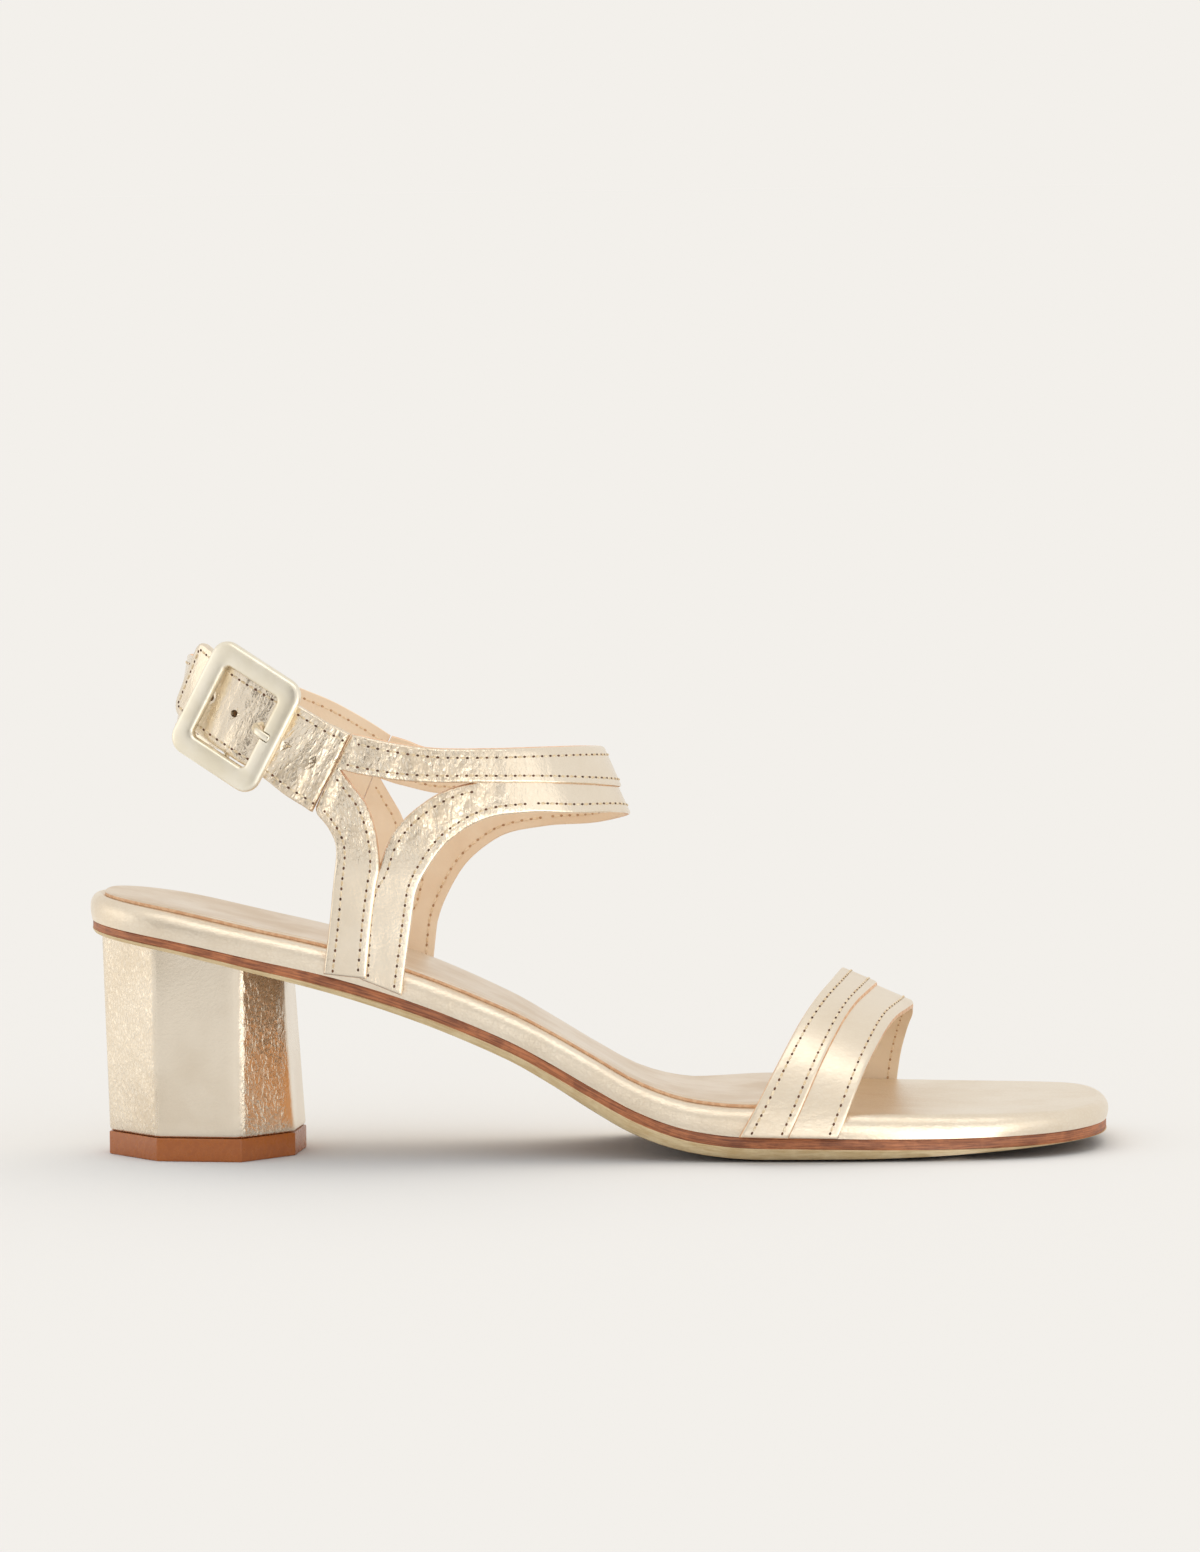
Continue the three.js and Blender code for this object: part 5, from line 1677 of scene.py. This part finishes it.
def cut(piece: bpy.types.Object, cutter: bpy.types.Object) -> None:
    """Cut one object out of another for good, and remove the cutter."""
    bpy.context.view_layer.update()
    modifier = piece.modifiers.new("cut", "BOOLEAN")
    modifier.object = cutter
    modifier.solver = "EXACT"
    bpy.context.view_layer.update()
    shown = piece.evaluated_get(bpy.context.evaluated_depsgraph_get())
    mesh = bpy.data.meshes.new_from_object(shown)
    bm = bmesh.new()
    bm.from_mesh(mesh)
    mark_hard_edges(bm)
    bm.to_mesh(mesh)
    bm.free()
    piece.modifiers.clear()
    old, piece.data = piece.data, mesh
    mesh.name = old.name
    bpy.data.meshes.remove(old)
    used = cutter.data
    bpy.data.objects.remove(cutter)
    bpy.data.meshes.remove(used)


@dataclass
class Buckle:
    """Square frame with rounded corners, its bar and its pin."""

    straps: Straps
    length: float = 25.8
    width: float = 29.4
    opening_length: float = 16.2
    opening_width: float = 19.0
    thickness: float = 2.4
    height: float = 4.9
    corner: float = 4.2
    opening_corner: float = 1.4
    bar_diameter: float = 1.6
    bar_height: float = 1.1
    leg_at: float = 11.4
    pin_diameter: float = 1.5
    pin_seat: float = 2.4

    def rectangle(self, length: float, width: float, corner: float) -> list[Vector]:
        """Points round a rectangle with rounded corners, always as many."""
        points = []
        for index, (x, y) in enumerate(((1, 1), (-1, 1), (-1, -1), (1, -1))):
            for step in range(9):
                angle = math.pi / 2 * (index + step / 8)
                points.append(Vector((
                    x * (length / 2 - corner) + corner * math.cos(angle),
                    y * (width / 2 - corner) + corner * math.sin(angle),
                )))
        return points

    def build_frame(self, looks: Wardrobe) -> bpy.types.Object:
        """Build the frame, softly domed and rounded all round."""
        bm = bmesh.new()
        order = bm.verts.layers.int.new("order")
        top, edge = self.height + self.thickness, 1.0
        rows: list[tuple[list[Vector], float]] = []
        def outside(inset: float, z: float) -> None:
            """Add a row on the outline."""
            plan = self.rectangle(self.length - 2 * inset, self.width - 2 * inset, self.corner - inset * 0.8)
            rows.append((plan, z))
        def inside(inset: float, z: float) -> None:
            """Add a row on the opening."""
            plan = self.rectangle(
                self.opening_length + 2 * inset, self.opening_width + 2 * inset, self.opening_corner + inset
            )
            rows.append((plan, z))
        outside(0.7, self.height)
        outside(0.2, self.height + 0.2)
        outside(0.0, self.height + 0.7)
        for step in range(6):
            angle = math.pi / 2 * step / 5
            outside(edge * (1 - math.cos(angle)), top - 0.15 - edge * (1 - math.sin(angle)))
        outside(1.9, top)
        inside(1.5, top)
        for step in range(6):
            angle = math.pi / 2 * (1 - step / 5)
            inside(0.8 * (1 - math.cos(angle)), top - 0.1 - 0.8 * (1 - math.sin(angle)))
        inside(0.0, self.height + 0.5)
        inside(0.4, self.height)
        count = len(rows[0][0])
        ring = bmesh.ops.create_circle(bm, segments=count, radius=1.0)["verts"]
        for k, vert in enumerate(ring):
            vert[order] = k
        first = edges = list(bm.edges)
        for row, (plan, z) in enumerate(rows):
            if row:
                ring, edges = grown(bm, edges)
            for vert in ring:
                vert.co = (*plan[vert[order]], z)
        bmesh.ops.bridge_loops(bm, edges=first + edges)
        bmesh.ops.recalc_face_normals(bm, faces=bm.faces)
        bmesh.ops.transform(bm, matrix=self.straps.buckle, verts=bm.verts)
        piece = new_piece("buckle_ring", bm, [looks.metal])
        cut(piece, self.notch(looks))
        return piece

    def notch(self, looks: Wardrobe) -> bpy.types.Object:
        """The seat that the pin has in the frame, as a cutter."""
        bm = bmesh.new()
        bmesh.ops.create_cube(bm, size=1.0)
        long = self.opening_length / 2 + self.pin_seat + 0.25
        top = self.height + self.thickness
        size, deep = (long - 5.0, self.pin_diameter + 0.7, 3.0), 1.55
        bmesh.ops.scale(bm, verts=bm.verts, vec=size)
        bmesh.ops.translate(bm, verts=bm.verts, vec=((long + 5.0) / 2, 0.0, top - deep + 1.5))
        edges = [edge for edge in bm.edges if abs((edge.verts[0].co - edge.verts[1].co).z) > 1.0]
        bmesh.ops.bevel(bm, geom=edges, offset=0.5, affect="EDGES", segments=4, profile=0.5, material=-1)
        bmesh.ops.transform(bm, matrix=self.straps.buckle, verts=bm.verts)
        return new_piece("notch", bm, [looks.metal])

    def build_bar(self, looks: Wardrobe) -> bpy.types.Object:
        """Build the bar under the strap and the two legs that join it to the frame."""
        bm = bmesh.new()
        radius = self.bar_diameter / 2
        bmesh.ops.create_cone(
            bm, cap_ends=True, segments=20, radius1=radius, radius2=radius, depth=2 * self.leg_at + 2 * radius,
            matrix=Matrix.Translation((0, 0, self.bar_height)) @ Matrix.Rotation(math.pi / 2, 4, "X"),
        )
        reach = self.height + self.thickness / 2 - self.bar_height
        for side in (-1, 1):
            bmesh.ops.create_cone(
                bm, cap_ends=True, segments=20, radius1=radius, radius2=radius, depth=reach,
                matrix=Matrix.Translation((0, side * self.leg_at, self.bar_height + reach / 2)),
            )
        rims = [edge for edge in bm.edges if any(len(face.verts) > 4 for face in edge.link_faces)]
        bmesh.ops.bevel(bm, geom=rims, offset=0.25, affect="EDGES", segments=2, profile=0.5, material=-1)
        bmesh.ops.transform(bm, matrix=self.straps.buckle, verts=bm.verts)
        return new_piece("buckle_bar", bm, [looks.metal])

    def build_pin(self, looks: Wardrobe) -> bpy.types.Object:
        """Build the pin from its eye on the bar to its flat end in the frame's notch."""
        reach = self.straps.pin_reach
        top = self.height + self.thickness - self.pin_diameter / 2 + 0.35
        path = spline([
            Vector((self.bar_diameter * 0.8, 0, self.bar_height + 0.4)),
            Vector((reach - 0.9, 0, mix(self.bar_height, top, 0.5))),
            Vector((self.opening_length / 2 - 1.2, 0, top - 0.4)),
            Vector((self.opening_length / 2 + self.pin_seat, 0, top)),
        ], 7)
        bm = bmesh.new()
        order = bm.verts.layers.int.new("order")
        section = []
        wide, high = self.pin_diameter * 0.62, self.pin_diameter / 2
        for k in range(16):
            angle = math.tau * k / 16
            c, s = math.cos(angle), math.sin(angle)
            section.append(Vector((
                math.copysign(abs(c) ** 0.6 * wide, c), math.copysign(abs(s) ** 0.6 * high, s)
            )))
        ring = bmesh.ops.create_circle(bm, cap_ends=False, segments=16, radius=1.0)["verts"]
        for k, vert in enumerate(ring):
            vert[order] = k
        first = edges = list(bm.edges)
        last = len(path) - 1
        stations = [(i, 1.0) for i in range(last + 1)] + [(last, 0.86), (last, 0.6)]
        for row, (i, size) in enumerate(stations):
            if row:
                ring, edges = grown(bm, edges)
            along = (path[min(i + 1, last)] - path[max(i - 1, 0)]).normalized()
            up = Vector((-along.z, 0.0, along.x))
            push = {1.0: 0.0, 0.86: 0.18, 0.6: 0.25}[size]
            for vert in ring:
                flat = section[vert[order]] * size
                vert.co = path[i] + along * push + Vector((0, 1, 0)) * flat.x + up * flat.y
        bmesh.ops.contextual_create(bm, geom=first)
        bmesh.ops.contextual_create(bm, geom=edges)
        self.add_eye(bm)
        bmesh.ops.recalc_face_normals(bm, faces=bm.faces)
        bmesh.ops.transform(bm, matrix=self.straps.buckle, verts=bm.verts)
        return new_piece("buckle_tongue", bm, [looks.metal])

    def add_eye(self, bm: bmesh.types.BMesh) -> None:
        """Spin the pin's eye round the bar."""
        inner = self.bar_diameter / 2 + CLEARANCE
        made = bmesh.ops.create_circle(bm, segments=12, radius=0.5)
        centre = Vector((0, 0, self.bar_height))
        start = Matrix.Translation(centre + Vector((inner + 0.5, 0, 0)))
        bmesh.ops.scale(bm, verts=made["verts"], vec=(0.8, 1.4, 1.0))
        bmesh.ops.transform(bm, matrix=start, verts=made["verts"])
        edges = list({edge for vert in made["verts"] for edge in vert.link_edges})
        bmesh.ops.spin(
            bm, geom=made["verts"] + edges, cent=centre, axis=(0, 1, 0), angle=math.tau, steps=24, use_merge=True
        )

    def build(self, looks: Wardrobe) -> list[bpy.types.Object]:
        """Build the whole buckle."""
        return [self.build_frame(looks), self.build_bar(looks), self.build_pin(looks)]


@dataclass
class Studio:
    """Camera, pale floor and soft light.

    Attributes:
        target: Point at the picture's middle, in metres.
        distance: From the camera to it.
        azimuth: Turn of the camera round the shoe, in degrees.
        elevation: Height angle of the camera, in degrees.
        roll: Turn of the picture to the left, in degrees.
        lens: Focal length for a 36 mm sensor.
        ground: Colour of the floor and of the room round it.
        key: What the overhead light adds to a white floor.
        softness: Angle that the overhead light fills, in degrees.
        tip: How far the overhead light is tipped, in degrees.
    """

    target: Vector = field(default_factory=lambda: Vector((0.00085, 0.00116, 0.08848)))
    distance: float = 2.0
    azimuth: float = 1.5
    elevation: float = 4.2
    roll: float = 0.7
    lens: float = 194.85
    ground: Colour = srgb(243, 240, 235)
    key: tuple[float, float, float] = (0.3, 0.23, 0.15)
    softness: float = 70.0
    tip: tuple[float, float, float] = (-28.0, 4.0, 0.0)

    def camera(self) -> None:
        """Set the camera at the photograph's angle."""
        a, e, r = (math.radians(value) for value in (self.azimuth, self.elevation, self.roll))
        back = Vector((math.sin(a) * math.cos(e), -math.cos(a) * math.cos(e), math.sin(e)))
        right = Vector((math.cos(a), math.sin(a), 0.0))
        up = back.cross(right)
        right, up = right * math.cos(r) - up * math.sin(r), right * math.sin(r) + up * math.cos(r)
        data = bpy.data.cameras.new("camera")
        data.lens = self.lens
        data.clip_start, data.clip_end = 0.05, 100.0
        camera = bpy.data.objects.new("camera", data)
        camera.matrix_world = Matrix((
            (right.x, up.x, back.x, self.target.x + back.x * self.distance),
            (right.y, up.y, back.y, self.target.y + back.y * self.distance),
            (right.z, up.z, back.z, self.target.z + back.z * self.distance),
            (0.0, 0.0, 0.0, 1.0),
        ))
        bpy.context.scene.collection.objects.link(camera)
        bpy.context.scene.camera = camera

    def room(self) -> None:
        """Light the room evenly and lay the floor in its colour."""
        world = bpy.data.worlds.new("room")
        world.use_nodes = True
        world.node_tree.nodes["Background"].inputs["Color"].default_value = self.ground
        bpy.context.scene.world = world
        bpy.context.scene.view_settings.view_transform = "Standard"
        sun = bpy.data.lights.new("overhead", "SUN")
        sun.energy = math.pi * max(self.key) / math.cos(math.radians(self.tip[0]))
        sun.color = [part / max(self.key) for part in self.key]
        sun.angle = math.radians(self.softness)
        lamp = bpy.data.objects.new("overhead", sun)
        lamp.rotation_euler = [math.radians(turn) for turn in self.tip]
        lamp.visible_glossy = False
        bpy.context.scene.collection.objects.link(lamp)
        g = Graph("floor")
        ground = [tone / (tone + part) for tone, part in zip(self.ground, self.key)]
        material = g.surface(Base_Color=(*ground, 1.0), Roughness=1.0, Specular_IOR_Level=0.0)
        bm = bmesh.new()
        bmesh.ops.create_grid(bm, x_segments=1, y_segments=1, size=60.0)
        mesh = bpy.data.meshes.new("floor")
        bm.to_mesh(mesh)
        bm.free()
        mesh.materials.append(material)
        floor = bpy.data.objects.new("floor", mesh)
        bpy.context.scene.collection.objects.link(floor)

    def card(
        self,
        name: str,
        place: Vector,
        aim: Vector,
        size: tuple[float, float],
        tone: Colour,
        glow: float,
        turn: float = 0.0,
    ) -> None:
        """Hang a card that only shows in glossy surfaces.

        Args:
            name: Its name.
            place: Its middle, in metres.
            aim: The point that it faces.
            size: Its width and height.
            tone: Its colour.
            glow: How bright it is.
            turn: Its turn about its own middle, in degrees.
        """
        g = Graph(name)
        g.node_output(g.node("ShaderNodeEmission", None, {"Color": tone, "Strength": glow}))
        bm = bmesh.new()
        facing = (aim - place).to_track_quat("Z", "Y").to_matrix().to_4x4()
        facing = facing @ Matrix.Rotation(math.radians(turn), 4, "Z")
        bmesh.ops.create_grid(bm, x_segments=1, y_segments=1, size=0.5)
        bmesh.ops.scale(bm, verts=bm.verts, vec=(*size, 1.0))
        bmesh.ops.transform(bm, verts=bm.verts, matrix=Matrix.Translation(place) @ facing)
        mesh = bpy.data.meshes.new(name)
        bm.to_mesh(mesh)
        bm.free()
        mesh.materials.append(g.material)
        card = bpy.data.objects.new(name, mesh)
        card.visible_camera = card.visible_diffuse = card.visible_shadow = False
        card.visible_transmission = card.visible_volume_scatter = False
        bpy.context.scene.collection.objects.link(card)

    def build(self) -> None:
        """Set up the whole studio."""
        self.camera()
        self.room()
        middle = Vector((0.0, 0.0, 0.06))
        white, tan, dark = srgb(255, 251, 243), srgb(196, 138, 84), srgb(72, 62, 48)
        up = Vector((0.0, 0.0, 1.0))
        self.card("sky_panel", Vector((0.0, -0.45, 0.75)), middle, (0.9, 0.3), white, 2.0)
        self.card("left_panel", Vector((-0.8, -0.02, 0.1)), middle, (0.5, 0.5), white, 1.5)
        self.card("right_panel", Vector((0.69, -0.6, 0.15)), middle, (0.5, 0.5), white, 1.25)
        self.card("front_shade", Vector((0.0, -1.1, 0.34)), middle, (0.9, 0.09), dark, 1.0)
        self.card("left_shade", Vector((-0.55, -0.75, 0.12)), middle, (0.28, 0.5), dark, 1.0)
        arch, heel = Vector((-0.02, -0.002, 0.015)), Vector((-0.1, -0.002, 0.015))
        self.card("arch_shade", arch, heel, (0.05, 0.03), tan, 1.15)
        for name, x, y, width, depth, turn, tone, glow in (
            ("left_low_panel", -0.5, 0.16, 0.6, 0.3, 0.0, white, 1.04),
            ("front_low_panel", 0.16, -0.26, 0.42, 0.24, -42.0, white, 2.3),
        ):
            place = Vector((x, y, 0.0004))
            self.card(name, place, place + up, (width, depth), tone, glow, turn)


def put(pieces: Iterable[bpy.types.Object], slot: Slot, *nodes: str) -> None:
    """Ride pieces on the body and let the first stand for CAD nodes."""
    for k, piece in enumerate(pieces):
        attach(piece, "root")
        if k == 0 and nodes:
            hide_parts(*nodes)


def main() -> None:
    """Build every piece in order."""
    logging.basicConfig(level=logging.INFO, format="%(relativeCreated)6d ms %(message)s")
    Studio().build()
    looks = Wardrobe()
    sole = Sole()
    put([sole.build_outsole(looks)], Slot.OUTSOLE, "outsole")
    put([sole.build_midsole(looks)], Slot.EDGE, "midsole")
    put([sole.build_footbed(looks)], Slot.GOLD, "footbed")
    put([sole.build_sock(looks)], Slot.SOCK, "insole_sock")
    heel = Heel(sole)
    put([heel.build_block(looks)], Slot.GOLD, "heel_block")
    put([heel.build_lift(looks)], Slot.LIFT, "heel_top_lift")
    put(FrontStrap(sole).build(looks), Slot.GOLD, "vamp_strap")
    ankle = Ankle(sole)
    put(ankle.build(looks), Slot.GOLD, "ankle_upper")
    straps = Straps(ankle)
    put(straps.build_outer(looks), Slot.GOLD, "buckle_strap")
    put(straps.build_back(looks), Slot.GOLD, "back_strap")
    ring, bar, pin = Buckle(straps).build(looks)
    put([ring, bar], Slot.METAL, "buckle_frame")
    put([pin], Slot.METAL, "buckle_pin")


if __name__ == "__main__":
    main()
